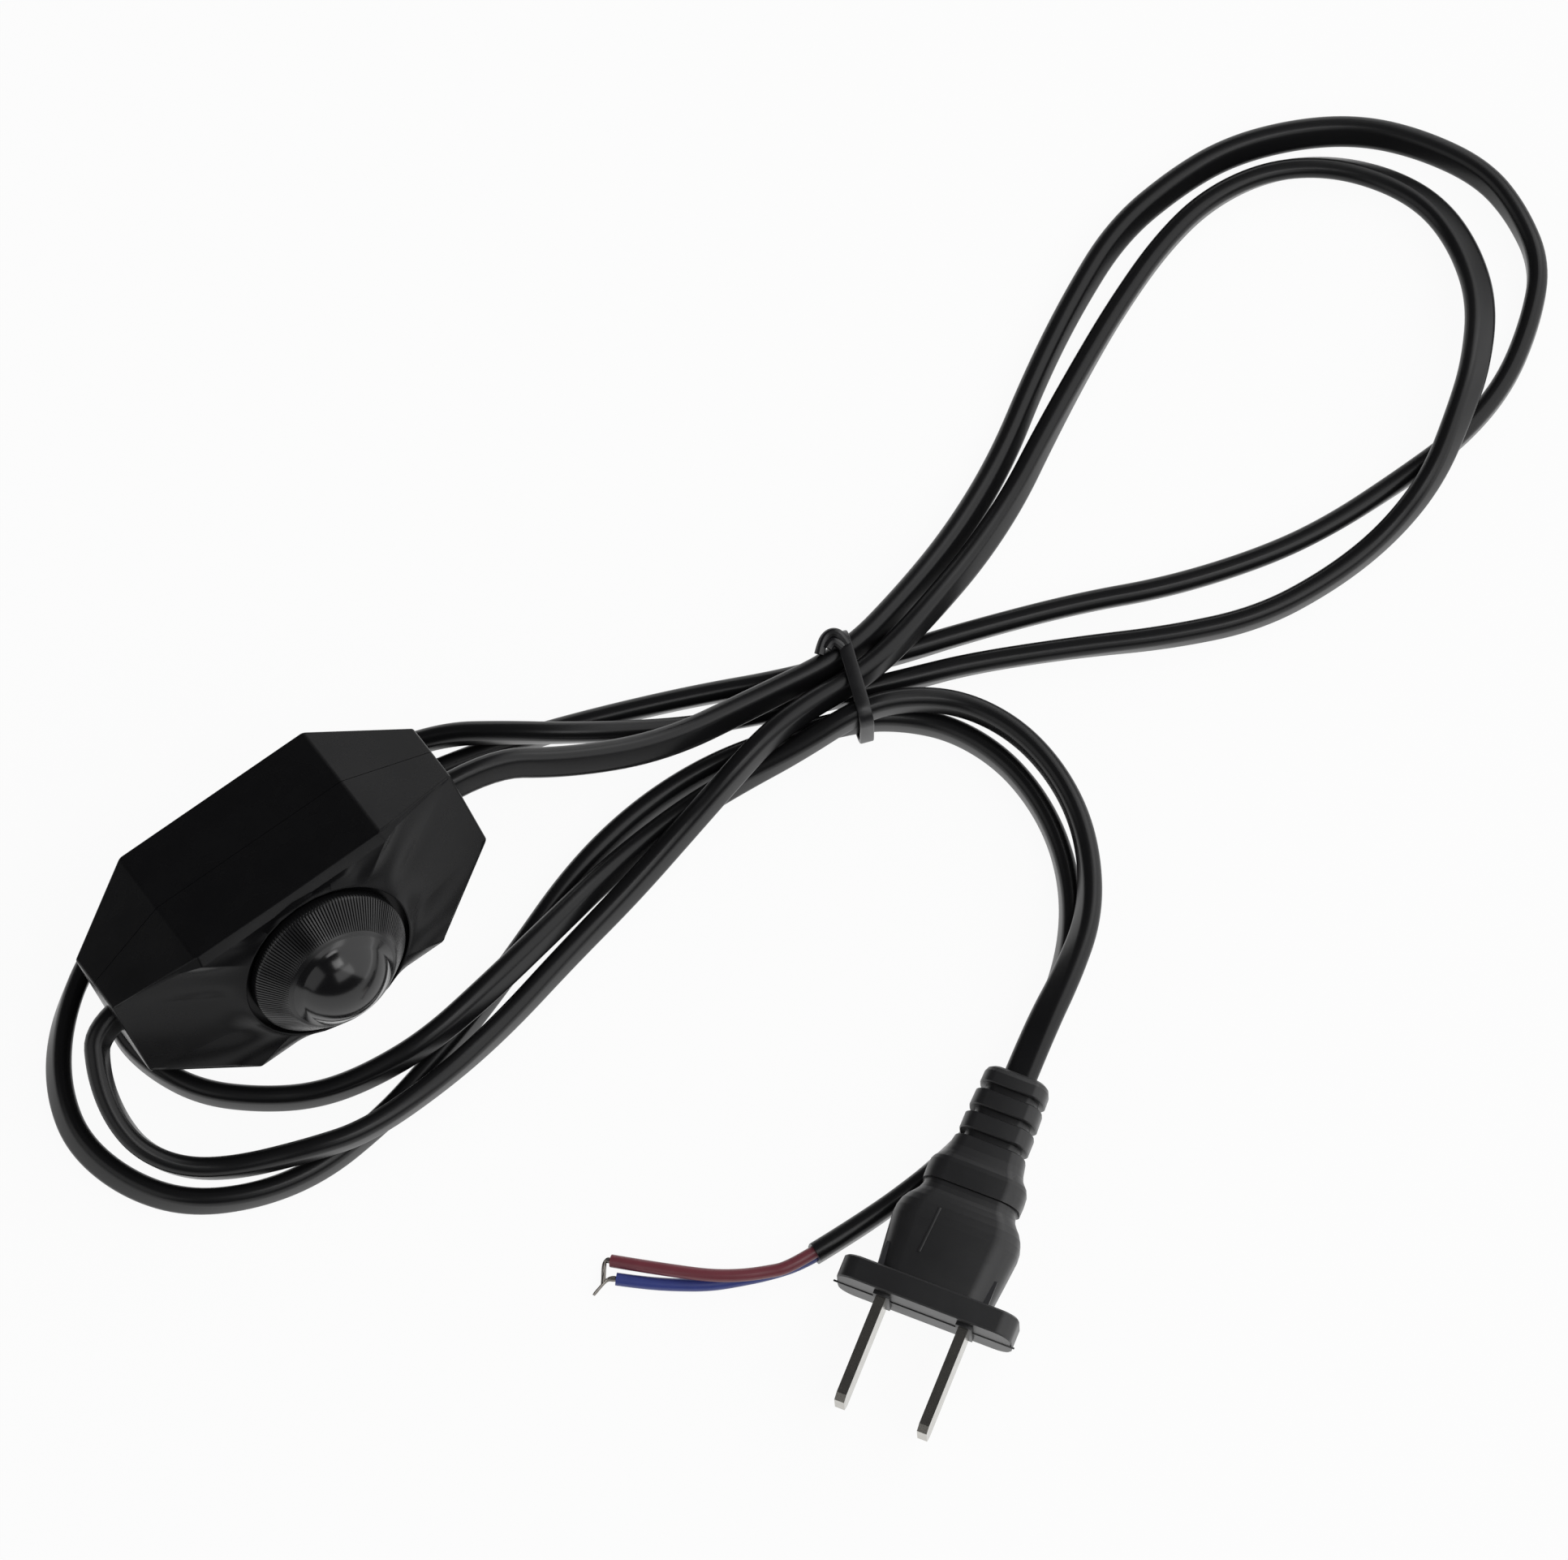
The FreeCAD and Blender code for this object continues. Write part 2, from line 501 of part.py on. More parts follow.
SUPPLY_ROUTE = [
    on_case(size("supply_start")), on_case(size("supply_bend")),
    # over the bundle to the tie, then the outer loop on the right
    (46.5, -2.0, 17.5), (60.5, -6.0, 11.6), (75.5, -7.6, 9.0), at_tie(0.86, "layer_high"),
    (103.0, -5.2, 6.8), (115.0, -0.8, 4.5), (127.5, 5.5, 2.6), (139.5, 13.0, floor), (150.5, 19.5, floor),
    (163.0, 25.5, floor), (175.0, 27.0, floor), (184.5, 26.5, floor), (194.5, 23.0, floor),
    (202.5, 18.0, floor), (208.5, 11.0, floor), (213.0, 2.5, floor), (213.5, -5.5, floor),
    (211.5, -14.5, floor), (205.0, -21.0, floor), (196.0, -27.0, floor), (185.5, -30.0, floor),
    (175.0, -30.5, floor), (162.0, -30.5, floor), (151.0, -29.0, floor), (137.0, -25.0, floor),
    (124.5, -19.5, floor), (109.5, -14.0, floor), (98.0, -10.8, 2.4), at_tie(1, "layer_low"),
    # back to the left and under the casing
    (81.5, -4.9, 2.5), (70.5, 0.1, floor), (57.5, 5.0, floor), (45.5, 8.8, floor), (34.5, 11.6, floor),
    (24.0, 13.2, floor), (12.0, 13.4, floor), (0.0, 13.2, floor), (-11.0, 14.0, floor),
    (-20.0, 13.3, floor), (-25.6, 10.0, floor), (-28.0, 4.0, floor), (-27.4, -3.0, floor),
    (-24.0, -10.0, floor), (-17.5, -15.5, floor), (-10.0, -19.7, floor), (-2.5, -22.2, 3.6),
    # long way back to the tie
    (7.5, -23.2, 6.2), (19.0, -21.6, 6.8), (32.0, -18.8, 5.6), (45.5, -15.8, 3.0), (59.0, -13.9, 2.3),
    (68.0, -14.6, 3.3), (77.0, -16.0, 5.7), at_tie(-1, "layer_high"),
    # round to the plug
    (95.0, -19.6, 7.1), (101.0, -24.3, 6.8), (104.8, -31.5, 6.7), (106.0, -39.5, 6.7), (105.0, -47.8, 6.7),
    (101.7, -55.5, 6.9), (96.5, -62.3, 7.8), (89.3, -67.6, 9.3),
    on_plug(relief_end + size("cord_bend_plug")), on_plug(relief_end - size("cord_in_plug")),
]

OUTPUT_ROUTE = [
    on_case(-size("output_start")), on_case(-size("output_bend")),
    # tight drop from the casing, then the inner strand on the left
    (-35.4, -2.2, 12.3), (-36.7, -8.2, 9.4), (-35.9, -14.0, 7.2), (-32.0, -19.3, 5.6), (-25.5, -23.4, 4.8),
    (-16.0, -27.3, 6.5), (-7.5, -29.7, 6.7), (6.0, -28.9, 5.7), (18.5, -26.6, 3.4), (32.5, -23.0, 2.6),
    (46.0, -21.0, 3.4), (58.0, -18.0, 5.4), (66.0, -15.8, 8.3), (74.0, -13.5, 9.5), (81.5, -12.6, 9.3),
    at_tie(0, "layer_high"),
    # inner loop on the right, over the outer one
    (96.5, -11.8, 7.2), (105.5, -9.3, 6.0), (116.0, -5.5, 4.0), (126.3, -0.6, 2.4), (135.0, 4.5, floor),
    (146.0, 10.5, floor), (156.0, 15.5, floor), (167.0, 20.0, floor), (176.5, 21.5, floor),
    (186.5, 20.5, floor), (195.5, 17.0, floor), (201.0, 9.5, 2.2), (204.0, 2.0, 2.6), (203.5, -6.5, 3.6),
    (200.0, -15.5, 5.2), (193.0, -23.5, 6.7), (187.5, -28.0, 6.7), (178.0, -34.5, 5.2), (168.5, -36.5, 3.0),
    (157.5, -37.5, floor), (145.0, -36.5, floor), (132.5, -31.5, floor), (120.5, -25.1, floor),
    (106.5, -18.5, floor), (97.5, -15.4, 2.4), at_tie(0, "layer_low"),
    # left again behind the casing and round its end
    (79.5, -8.9, 2.6), (69.0, -4.6, 2.9), (60.5, -0.8, 4.4), (51.0, 4.6, 6.7), (43.0, 10.2, 6.5),
    (36.0, 15.4, 4.9), (26.0, 18.8, 2.5), (14.0, 20.0, floor), (2.0, 19.8, floor), (-10.0, 20.3, floor),
    (-20.0, 18.8, floor), (-28.5, 14.6, floor), (-35.7, 8.6, floor), (-40.3, 1.5, floor),
    (-42.2, -6.5, floor), (-39.8, -15.5, floor), (-34.2, -23.0, floor), (-25.0, -27.8, floor),
    (-15.0, -29.6, floor), (-4.0, -28.2, floor), (3.0, -26.5, floor), (14.5, -23.0, floor),
    (26.0, -18.6, floor), (40.0, -12.4, floor), (52.5, -9.3, floor), (65.0, -8.9, floor),
    (77.0, -12.9, 2.3), at_tie(-1, "layer_low"),
    # under the plug's own cord and the plug to the bare end
    (93.5, -20.8, 2.5), (98.5, -25.6, floor), (101.6, -33.0, floor), (102.3, -41.0, floor),
    (101.0, -49.0, floor), (97.5, -57.0, floor), (91.8, -64.0, floor), (84.0, -69.8, floor),
    (75.0, -75.0, floor), (65.5, -78.5, floor), (55.5, -79.9, floor), (45.5, -80.6, floor),
    (36.0, -80.3, floor),
]

supply_path = measured_tube("supply_cord", SUPPLY_ROUTE, size("cord_radius"))
output_path = measured_tube("output_cord", OUTPUT_ROUTE, size("cord_radius"))


def spaced(path, step):
    return path.discretize(Number=int(path.Length / step))


def least_gap(first, second, step, diameter, skip=0.0):
    # smallest distance between two centre lines, less the tube's diameter
    best, where = 1e9, None
    for n, p in enumerate(first):
        for k, q in enumerate(second):
            if skip and k - n < skip / step:
                continue
            gap = abs(p.x - q.x) + abs(p.y - q.y)
            if gap < 12:
                gap = p.distanceToPoint(q)
                if gap < best:
                    best, where = gap, p
    return best - diameter, where


STEP = 1.0
supply_line, output_line = spaced(supply_path, STEP), spaced(output_path, STEP)
wide = 2 * size("cord_radius")
for label, gap in (("supply to itself", least_gap(supply_line, supply_line, STEP, wide, 14)),
                   ("output to itself", least_gap(output_line, output_line, STEP, wide, 14)),
                   ("supply to output", least_gap(supply_line, output_line, STEP, wide))):
    print("least gap %s: %.2f mm at (%.0f, %.0f, %.0f)" % ((label, gap[0]) + tuple(gap[1])))

# Bare end: two cores out of the sheath and a bent copper tip on each
up = size("core_offset")
sheath_end = Vec(*OUTPUT_ROUTE[-1])
low, raised = floor - up, floor + up
BROWN_ROUTE = [
    (sheath_end.x, sheath_end.y, raised), (33.0, -80.2, raised), (29.4, -79.2, 3.2), (25.6, -77.4, 3.2),
    (21.8, -74.8, 3.1), (18.2, -71.4, 2.8), (15.0, -68.1, 2.2), (12.6, -65.5, 1.6), (11.5, -64.3, 1.3)]
BLUE_ROUTE = [
    (sheath_end.x, sheath_end.y, low), (33.0, -80.2, low), (29.0, -79.9, low), (25.0, -78.3, low),
    (20.9, -75.8, low), (16.8, -72.4, low), (13.4, -69.5, low), (10.6, -66.9, low)]
BROWN_TIP = [BROWN_ROUTE[-1], (10.9, -63.6, 1.2), (10.0, -64.6, 1.1), (8.8, -66.3, 1.0)]
BLUE_TIP = [BLUE_ROUTE[-1], (9.8, -66.2, low), (8.6, -66.4, 0.8), (6.9, -66.9, 0.7)]
for label, route in (("brown_core", BROWN_ROUTE), ("blue_core", BLUE_ROUTE)):
    measured_tube(label, route, size("core_radius"))
tips = [solid(tube(route, size("strand_radius"))[0]) for route in (BROWN_TIP, BLUE_TIP)]
piece("copper_tips", gathered(*tips))

# Leads inside the casing, from each cord end to the board
board_height = size("case_high") / 2 + size("well_floor") - size("floor_wall") - size("case_gap") \
    - size("pot_deep") - size("switch_deep") - size("board_gap")


def inner_lead(start, side, sign):
    edge = sign * (size("case_mid") / 2 - size("board_end") - size("wire_radius"))
    level = board_height + size("wire_radius") + size("case_gap")
    out = side * size("core_offset")
    route = [(sign * start, out, 0), (sign * (start - 2.4), out, 0),
             (sign * (start - 5.2), side * 3.2, level), (edge, side * 4.8, level)]
    return tube(route, size("wire_radius"))[0]


for label, start, sign in (("supply_leads", "supply_start", 1), ("output_leads", "output_start", -1)):
    leads = [solid(inner_lead(size(start) - 0.02, side, sign)) for side in (1, -1)]
    piece(label, gathered(*leads), case_place)

# Plug: moulded body with flange, waist, collar and ringed strain relief
flange_x = "-flange_deep / 2"
body_back = "(flange_deep + body_deep)"
waist_back = "(%s + waist_deep)" % body_back
collar_back = "(%s + collar_deep)" % waist_back
relief_back = "(%s + relief_deep)" % collar_back
flange = rounded(block(("flange_deep", "flange_wide", "flange_high"), (flange_x, "0", "0")),
                 size("flange_corner"), along("x"))
bulge_deep = "(body_deep + flange_deep / 2)"
bulge = block((bulge_deep, "body_wide", "body_high"), ("-%s + %s / 2" % (body_back, bulge_deep), "0", "0"))
bulge = rounded(bulge, size("body_corner"),
                lambda edge: along("z")(edge) and edge.Vertexes[0].X < -size("flange_deep"))
waist_span = "(waist_deep + body_corner)"
waist = block((waist_span, "waist_wide", "waist_high"),
              ("-%s + %s / 2" % (waist_back, waist_span), "0", "0"))
collar = rounded(block(("collar_deep", "collar_wide", "collar_high"),
                       ("-%s + collar_deep / 2" % collar_back, "0", "0")), size("collar_corner"), along("x"))
spine_span = "(relief_deep + collar_deep / 2)"
spine = block((spine_span, "relief_end_wide - 2 * groove_deep", "relief_high - 2 * groove_deep"),
              ("-%s + %s / 2" % (relief_back, spine_span), "0", "0"))
RINGS = 4
rings = []
for n in range(RINGS):
    deep = "((relief_deep - %d * groove_wide) / %d)" % (RINGS - 1, RINGS)
    middle = "-%s - %d * (%s + groove_wide) - %s / 2" % (collar_back, n, deep, deep)
    across = "relief_wide - (relief_wide - relief_end_wide) * %d / %d" % (n, RINGS - 1)
    ring = block((deep, across, "relief_high"), (middle, "0", "0"))
    rings.append(rounded(ring, size("relief_corner"), along("x")))
bridge_x = "-bridge_from - bridge_deep / 2"
room = block(("bridge_deep + 2 * seat", "bridge_wide + 2 * seat", "bridge_high + 2 * seat"),
             (bridge_x, "0", "0"))
crimp_from = "(bridge_from + bridge_deep)"
throat = block(("%s - cord_in_plug - %s" % (relief_back, crimp_from), "room_wide", "room_high"),
               ("-(%s + %s - cord_in_plug) / 2" % (crimp_from, relief_back), "0", "0"))
crimp_room = block(("crimp_length + crimp_space", "blade_pitch + 2 * crimp_radius + crimp_space",
                    "2 * crimp_radius + crimp_space"),
                   ("-%s - (crimp_length + crimp_space) / 2" % crimp_from, "0", "0"))
cord_bore = rod("cord_radius + cord_fit", "cord_in_plug * 2",
                ("-%s - cord_in_plug" % relief_back, "0", "0"), "x")
slots = [block(("bridge_from * 3", "blade_thick + 2 * seat", "blade_wide + 2 * seat"),
               ("0", "%s blade_pitch / 2" % sign, "0")) for sign in "+-"]
piece("plug_body", cut(fuse(flange, bulge, waist, collar, spine, *rings),
                       room, throat, crimp_room, cord_bore, *slots), plug_place)

# Bridge holds the two blades; a crimp and a core behind each
blade_slots = [block(("bridge_deep * 3", "blade_thick + 2 * seat", "blade_wide + 2 * seat"),
                     ("0", "%s blade_pitch / 2" % sign, "0")) for sign in "+-"]
piece("plug_bridge", cut(block(("bridge_deep", "bridge_wide", "bridge_high"), (bridge_x, "0", "0")),
                         *blade_slots), plug_place)
blade_span = "(blade_out + blade_in)"
for label, sign in (("blade_left", "-"), ("blade_right", "+")):
    bar = block((blade_span, "blade_thick", "blade_wide"),
                ("blade_out - %s / 2" % blade_span, "%s blade_pitch / 2" % sign, "0"))
    doc.recompute()
    tip = doc.addObject("Part::Chamfer", "tip")
    tip.Base = bar
    tip.Edges = [(n, size("blade_bevel"), size("blade_bevel")) for n, edge in enumerate(bar.Shape.Edges, 1)
                 if along("y")(edge) and edge.Vertexes[0].X > size("blade_out") - 0.01]
    piece(label, gathered(tip), plug_place)
crimp_low = "-%s - crimp_length - seat" % crimp_from
piece("plug_crimps", gathered(*[
    rod("crimp_radius", "crimp_length", (crimp_low, sign + " blade_pitch / 2", "0"), "x")
    for sign in "+-"]), plug_place)


def plug_core(side):
    back = -(size("bridge_from") + size("bridge_deep") + size("crimp_length") + 2 * size("seat"))
    end = -(relief_end - size("cord_in_plug") - size("seat"))
    route = [(end, side * 1.0, 0), (end + 6, side * 1.1, 0), (back - 3.4, side * 1.7, 0)]
    return tube(route, size("wire_radius"))[0]


piece("plug_cores", gathered(*[solid(plug_core(side)) for side in (1, -1)]), plug_place)

# Tie: a flat strip once round the six strands, its ends twisted off
span = "2 * tie_half"
tall = "(tie_top - tie_low)"
middle_z = "(tie_top + tie_low) / 2"
outer = rounded(block(("tie_wide", span + " + 2 * tie_thick", tall + " + 2 * tie_thick"),
                      ("0", "0", middle_z)), size("tie_corner") + size("tie_thick"), along("x"))
inner = rounded(block(("tie_wide * 2", span, tall), ("0", "0", middle_z)), size("tie_corner"), along("x"))
crown = size("tie_top") + size("tie_thick") / 2
edge_y = size("tie_half") - 1.0
tails = [solid(tube(route, size("tie_tail"))[0]) for route in (
    [(0.2, edge_y, crown), (-2.4, edge_y + 2.4, crown + 0.4), (-5.2, edge_y + 2.6, crown + 0.2),
     (-6.6, edge_y + 0.6, crown + 0.5)],
    [(0.0, -edge_y, crown), (0.6, -edge_y - 2.2, crown - 0.3), (0.5, -edge_y - 3.4, crown - 1.7)])]
piece("cord_tie", fuse(cut(outer, inner), *tails), tie_place)

doc.recompute()

# Nothing is written unless every object is sound
faults = [thing.Label for thing in doc.Objects if "Invalid" in thing.State or "Error" in thing.State]
faults += [thing.Label for thing in PIECES if thing.Shape.isNull() or not thing.Shape.isValid()]
if faults:
    raise RuntimeError("unsound: " + ", ".join(faults))
os.makedirs("parts", exist_ok=True)
for thing in PIECES:
    box = thing.Shape.BoundBox
    print("%-22s solids %d  volume %8.1f  x %.1f..%.1f  y %.1f..%.1f  z %.1f..%.1f" % (
        thing.Label, len(thing.Shape.Solids), thing.Shape.Volume, box.XMin, box.XMax, box.YMin, box.YMax,
        box.ZMin, box.ZMax))
    thing.Shape.exportStep("parts/%s.step" % thing.Label)
print("%d pieces written" % len(PIECES))
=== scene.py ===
import bpy
import bmesh
import math
from mathutils import Matrix, Vector


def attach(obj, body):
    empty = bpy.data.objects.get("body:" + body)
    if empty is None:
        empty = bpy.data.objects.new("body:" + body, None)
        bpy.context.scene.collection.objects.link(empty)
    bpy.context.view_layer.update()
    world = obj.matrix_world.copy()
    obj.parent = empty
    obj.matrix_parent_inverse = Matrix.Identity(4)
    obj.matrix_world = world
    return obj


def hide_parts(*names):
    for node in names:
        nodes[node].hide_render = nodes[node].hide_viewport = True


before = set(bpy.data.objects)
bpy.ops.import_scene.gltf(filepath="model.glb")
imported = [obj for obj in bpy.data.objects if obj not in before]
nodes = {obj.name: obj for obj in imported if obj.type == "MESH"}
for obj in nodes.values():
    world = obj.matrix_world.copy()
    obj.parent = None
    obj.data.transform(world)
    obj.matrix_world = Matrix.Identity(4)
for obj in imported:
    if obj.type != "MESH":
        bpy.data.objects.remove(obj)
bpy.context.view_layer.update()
mm = 0.001
print("frame loaded:", len(nodes), "nodes")

scene = bpy.context.scene
scene.view_settings.view_transform = "Standard"


# where the dimmer, the plug and the tie lie, in mm and degrees
def placed(x, y, z, heading, pitch, roll):
    turn = (Matrix.Rotation(math.radians(heading), 4, "Z") @ Matrix.Rotation(math.radians(pitch), 4, "Y")
            @ Matrix.Rotation(math.radians(roll), 4, "X"))
    return Matrix.Translation((x, y, z)) @ turn


casePlace = placed(0, 2.85, 19.21, 0, -6.1, 65.6)
plugPlace = placed(42.9, -98.0, 7.4, -146.2, 4.2, 0)
tiePlace = placed(89.3, -12.8, 0, -18.9, 0, 0)


# materials

def linear(hexColour):
    parts = [int(hexColour[n:n + 2], 16) / 255 for n in (1, 3, 5)]
    return [p / 12.92 if p <= 0.04045 else ((p + 0.055) / 1.055) ** 2.4 for p in parts] + [1.0]


def addNode(tree, kind, settings=None, links=None):
    node = tree.nodes.new("ShaderNode" + kind)
    for name, value in (settings or {}).items():
        if hasattr(node, name):
            setattr(node, name, value)
        else:
            node.inputs[name].default_value = value
    for name, source in (links or {}).items():
        tree.links.new(source, node.inputs[name])
    return node


def newMaterial(name, colour, roughness, metallic=0.0, ior=1.5, shine=0.5):
    material = bpy.data.materials.new(name)
    material.use_nodes = True
    shader = material.node_tree.nodes["Principled BSDF"]
    shader.inputs["Base Color"].default_value = linear(colour)
    shader.inputs["Roughness"].default_value = roughness
    shader.inputs["Metallic"].default_value = metallic
    shader.inputs["IOR"].default_value = ior
    shader.inputs["Specular IOR Level"].default_value = shine
    return material, material.node_tree, shader


def grained(name, colour, other, roughness, grainMm, depthMm, metallic=0.0, ior=1.5, patchMm=7.0,
            spread=0.06, shine=0.5):
    # colour drifts between two near tones, and gloss drifts with it by the spread. The grain is
    # coarser than the real one, which would be too fine to show
    material, tree, shader = newMaterial(name, colour, roughness, metallic, ior, shine)
    where = addNode(tree, "TexCoord").outputs["Object"]
    patches = addNode(tree, "TexNoise", {"Scale": 1 / (patchMm * mm), "Detail": 3.0, "Roughness": 0.6},
                      {"Vector": where})
    tone = addNode(tree, "Mix", {"data_type": "RGBA"}, {"Factor": patches.outputs["Fac"]})
    tone.inputs["A"].default_value = linear(colour)
    tone.inputs["B"].default_value = linear(other)
    tree.links.new(tone.outputs["Result"], shader.inputs["Base Color"])
    gloss = addNode(tree, "MapRange", {"To Min": roughness - spread, "To Max": roughness + spread},
                    {"Value": patches.outputs["Fac"]})
    tree.links.new(gloss.outputs["Result"], shader.inputs["Roughness"])
    grain = addNode(tree, "TexNoise", {"Scale": 1 / (grainMm * mm), "Detail": 2.0}, {"Vector": where})
    bump = addNode(tree, "Bump", {"Strength": 0.5, "Distance": depthMm * mm},
                   {"Height": grain.outputs["Fac"]})
    tree.links.new(bump.outputs["Normal"], shader.inputs["Normal"])
    return material


# ABS moulded in a lightly sparked steel mould: near black, satin, with a broad soft shine
sparkedAbs = grained("sparkedAbs", "#111112", "#151516", 0.27, 0.6, 0.006, shine=0.13)
# the same ABS on the knob's ring, a touch glossier
ringAbs = grained("ringAbs", "#101011", "#151516", 0.28, 0.6, 0.004)
# the same ABS from a polished mould, on the knob: a sharp reflection of the lamps
polishedAbs = grained("polishedAbs", "#0f0f10", "#111112", 0.16, 2.5, 0.002, ior=1.54, spread=0.03)
# plasticised PVC extruded over the cores: semi-gloss, its gloss uneven along the cord
extrudedPvc = grained("extrudedPvc", "#121213", "#171718", 0.3, 1.4, 0.010, patchMm=12.0, shine=0.36)
# PVC moulded over the plug: satin, softer shine than the casing
mouldedPvc = grained("mouldedPvc", "#1c1c1d", "#212122", 0.38, 0.7, 0.010, ior=1.53)
# core insulation: thin coloured PVC, slightly glossy
brownPvc = grained("brownPvc", "#85424b", "#74363f", 0.34, 1.0, 0.006, ior=1.53, patchMm=3.0)
bluePvc = grained("bluePvc", "#45519f", "#374284", 0.34, 1.0, 0.006, ior=1.53, patchMm=3.0)
# soft PVC over the tie's wire
tiePvc = grained("tiePvc", "#111112", "#19191b", 0.33, 0.8, 0.010, ior=1.53, patchMm=3.0)
# brass plated with bright nickel: mirror-like, slightly uneven from stamping
nickelPlate = grained("nickelPlate", "#b9b6ae", "#a5a29a", 0.2, 0.35, 0.003, metallic=1.0, patchMm=2.0)
# tinned copper strands, dull from handling
tinnedCopper = grained("tinnedCopper", "#8f8c88", "#736d66", 0.34, 0.2, 0.004, metallic=1.0, patchMm=0.8)
# zinc plated steel: grey white with a cloudy sheen
zincSteel = grained("zincSteel", "#b4b6b8", "#9a9da1", 0.32, 0.4, 0.004, metallic=1.0, patchMm=2.5)
# aluminium sheet as it leaves the mill: dull silver
milledAluminium = grained("milledAluminium", "#c3c5c7", "#adb0b2", 0.38, 0.3, 0.004, metallic=1.0,
                          patchMm=3.0)
# phenolic paper board: brown, dry and flecked
phenolicBoard = grained("phenolicBoard", "#8c6a3a", "#755427", 0.5, 0.3, 0.006, patchMm=1.5)
# epoxy packages: matte black
mouldedEpoxy = grained("mouldedEpoxy", "#161617", "#1f1f21", 0.5, 0.25, 0.006, patchMm=2.0)
# pressed iron powder ring: dark grey, dry
ironPowder = grained("ironPowder", "#3a3a3d", "#2a2a2c", 0.62, 0.2, 0.010, patchMm=1.5)
# winding wire: copper under clear enamel
enamelledCopper = grained("enamelledCopper", "#a8592b", "#8c4420", 0.25, 0.7, 0.020, metallic=1.0,
                          patchMm=1.5)
# dipped film capacitors: glossy brick red
dippedResin = grained("dippedResin", "#8a2a1c", "#741f14", 0.22, 1.2, 0.020, patchMm=2.5)
# nylon bridge inside the plug: dark and waxy
mouldedNylon = grained("mouldedNylon", "#262628", "#303033", 0.42, 0.5, 0.006, patchMm=3.0)

nodeFinish = {
    "case_screws": zincSteel, "pot_shaft": mouldedNylon, "pot_bushing": nickelPlate,
    "bushing_washer": zincSteel, "bushing_nut": zincSteel, "pot_housing": zincSteel,
    "switch_housing": mouldedEpoxy, "circuit_board": phenolicBoard, "pot_terminals": nickelPlate,
    "heat_plate": milledAluminium, "triac_tab": zincSteel, "triac_body": mouldedEpoxy,
    "triac_legs": nickelPlate, "choke_core": ironPowder, "choke_winding": enamelledCopper,
    "film_capacitor": dippedResin, "timing_capacitor": dippedResin, "resistors": phenolicBoard,
    "diac": bluePvc, "thermal_fuse": milledAluminium, "supply_clamp": zincSteel,
    "supply_clamp_screws": zincSteel, "output_clamp": zincSteel, "output_clamp_screws": zincSteel,
    "supply_leads": brownPvc, "output_leads": bluePvc, "plug_bridge": mouldedNylon,
    "blade_left": nickelPlate, "blade_right": nickelPlate, "plug_crimps": nickelPlate,
    "plug_cores": brownPvc,
}
for name, material in nodeFinish.items():
    nodes[name].data.materials.clear()
    nodes[name].data.materials.append(material)
print("materials made")


# camera: high and far away, looking down on the hank. Turn and elevation in degrees, the rest in mm
camera = {"turn": 34.44, "elevation": 70.0, "distance": 2000.0, "looksAt": (74.0, -17.2, 0.0),
          "lens": 314.5, "sensor": 36.0}
turn = math.radians(camera["turn"])
rise = math.radians(camera["elevation"])
pictureRight = Vector((math.cos(turn), -math.sin(turn), 0))
pictureAhead = Vector((math.sin(turn), math.cos(turn), 0))
target = Vector(camera["looksAt"]) * mm
toCamera = Vector((0, 0, 1)) * math.sin(rise) - pictureAhead * math.cos(rise)
photoCamera = bpy.data.cameras.new("photoCamera")
photoCamera.lens = camera["lens"]
photoCamera.sensor_width = camera["sensor"]
cameraObject = bpy.data.objects.new("photoCamera", photoCamera)
cameraObject.location = target + toCamera * camera["distance"] * mm
cameraObject.rotation_mode = "QUATERNION"
cameraObject.rotation_quaternion = (-toCamera).to_track_quat("-Z", "Y")
scene.collection.objects.link(cameraObject)
scene.camera = cameraObject


# shapes
plainSharp = 28  # degrees between two faces from which their edge shows sharp
# stands a flat outline up, across x
acrossX = Matrix(((0, 0, 1, 0), (1, 0, 0, 0), (0, 1, 0, 0), (0, 0, 0, 1)))


def finished(bm, name, place, material, body, sharp=plainSharp):
    # from mm and its own place to metres in the frame, with the object at the origin
    bmesh.ops.recalc_face_normals(bm, faces=bm.faces)
    bmesh.ops.transform(bm, matrix=Matrix.Scale(mm, 4) @ place, verts=bm.verts)
    mesh = bpy.data.meshes.new(name)
    bm.to_mesh(mesh)
    bm.free()
    mesh.shade_smooth()
    mesh.set_sharp_from_angle(angle=math.radians(sharp))
    mesh.materials.append(material)
    made = bpy.data.objects.new(name, mesh)
    scene.collection.objects.link(made)
    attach(made, body)
    return made


def meshOf(thing):
    bpy.context.view_layer.update()
    return bpy.data.meshes.new_from_object(thing.evaluated_get(bpy.context.evaluated_depsgraph_get()))


def cutBy(bm, point, normal):
    # everything past the plane goes, and the cut is closed
    cut = bmesh.ops.bisect_plane(bm, geom=bm.verts[:] + bm.edges[:] + bm.faces[:], dist=1e-5,
                                 plane_co=point, plane_no=normal, clear_outer=True)
    edges = [g for g in cut["geom_cut"] if isinstance(g, bmesh.types.BMEdge)]
    bmesh.ops.contextual_create(bm, geom=edges)
    bmesh.ops.dissolve_limit(bm, angle_limit=0.001, verts=bm.verts, edges=bm.edges)


def softened(bm, offset, segments, least=12, keep=None):
    # round every edge that turns by more than the least angle, but not those on the kept level
    edges = [e for e in bm.edges if len(e.link_faces) == 2 and e.calc_face_angle() > math.radians(least)]
    if keep is not None:
        edges = [e for e in edges if max(abs(v.co.z - keep) for v in e.verts) > 0.01]
    bmesh.ops.bevel(bm, geom=edges, offset=offset, offset_type="OFFSET", segments=segments, profile=0.5,
                    affect="EDGES", clamp_overlap=True, material=-1)


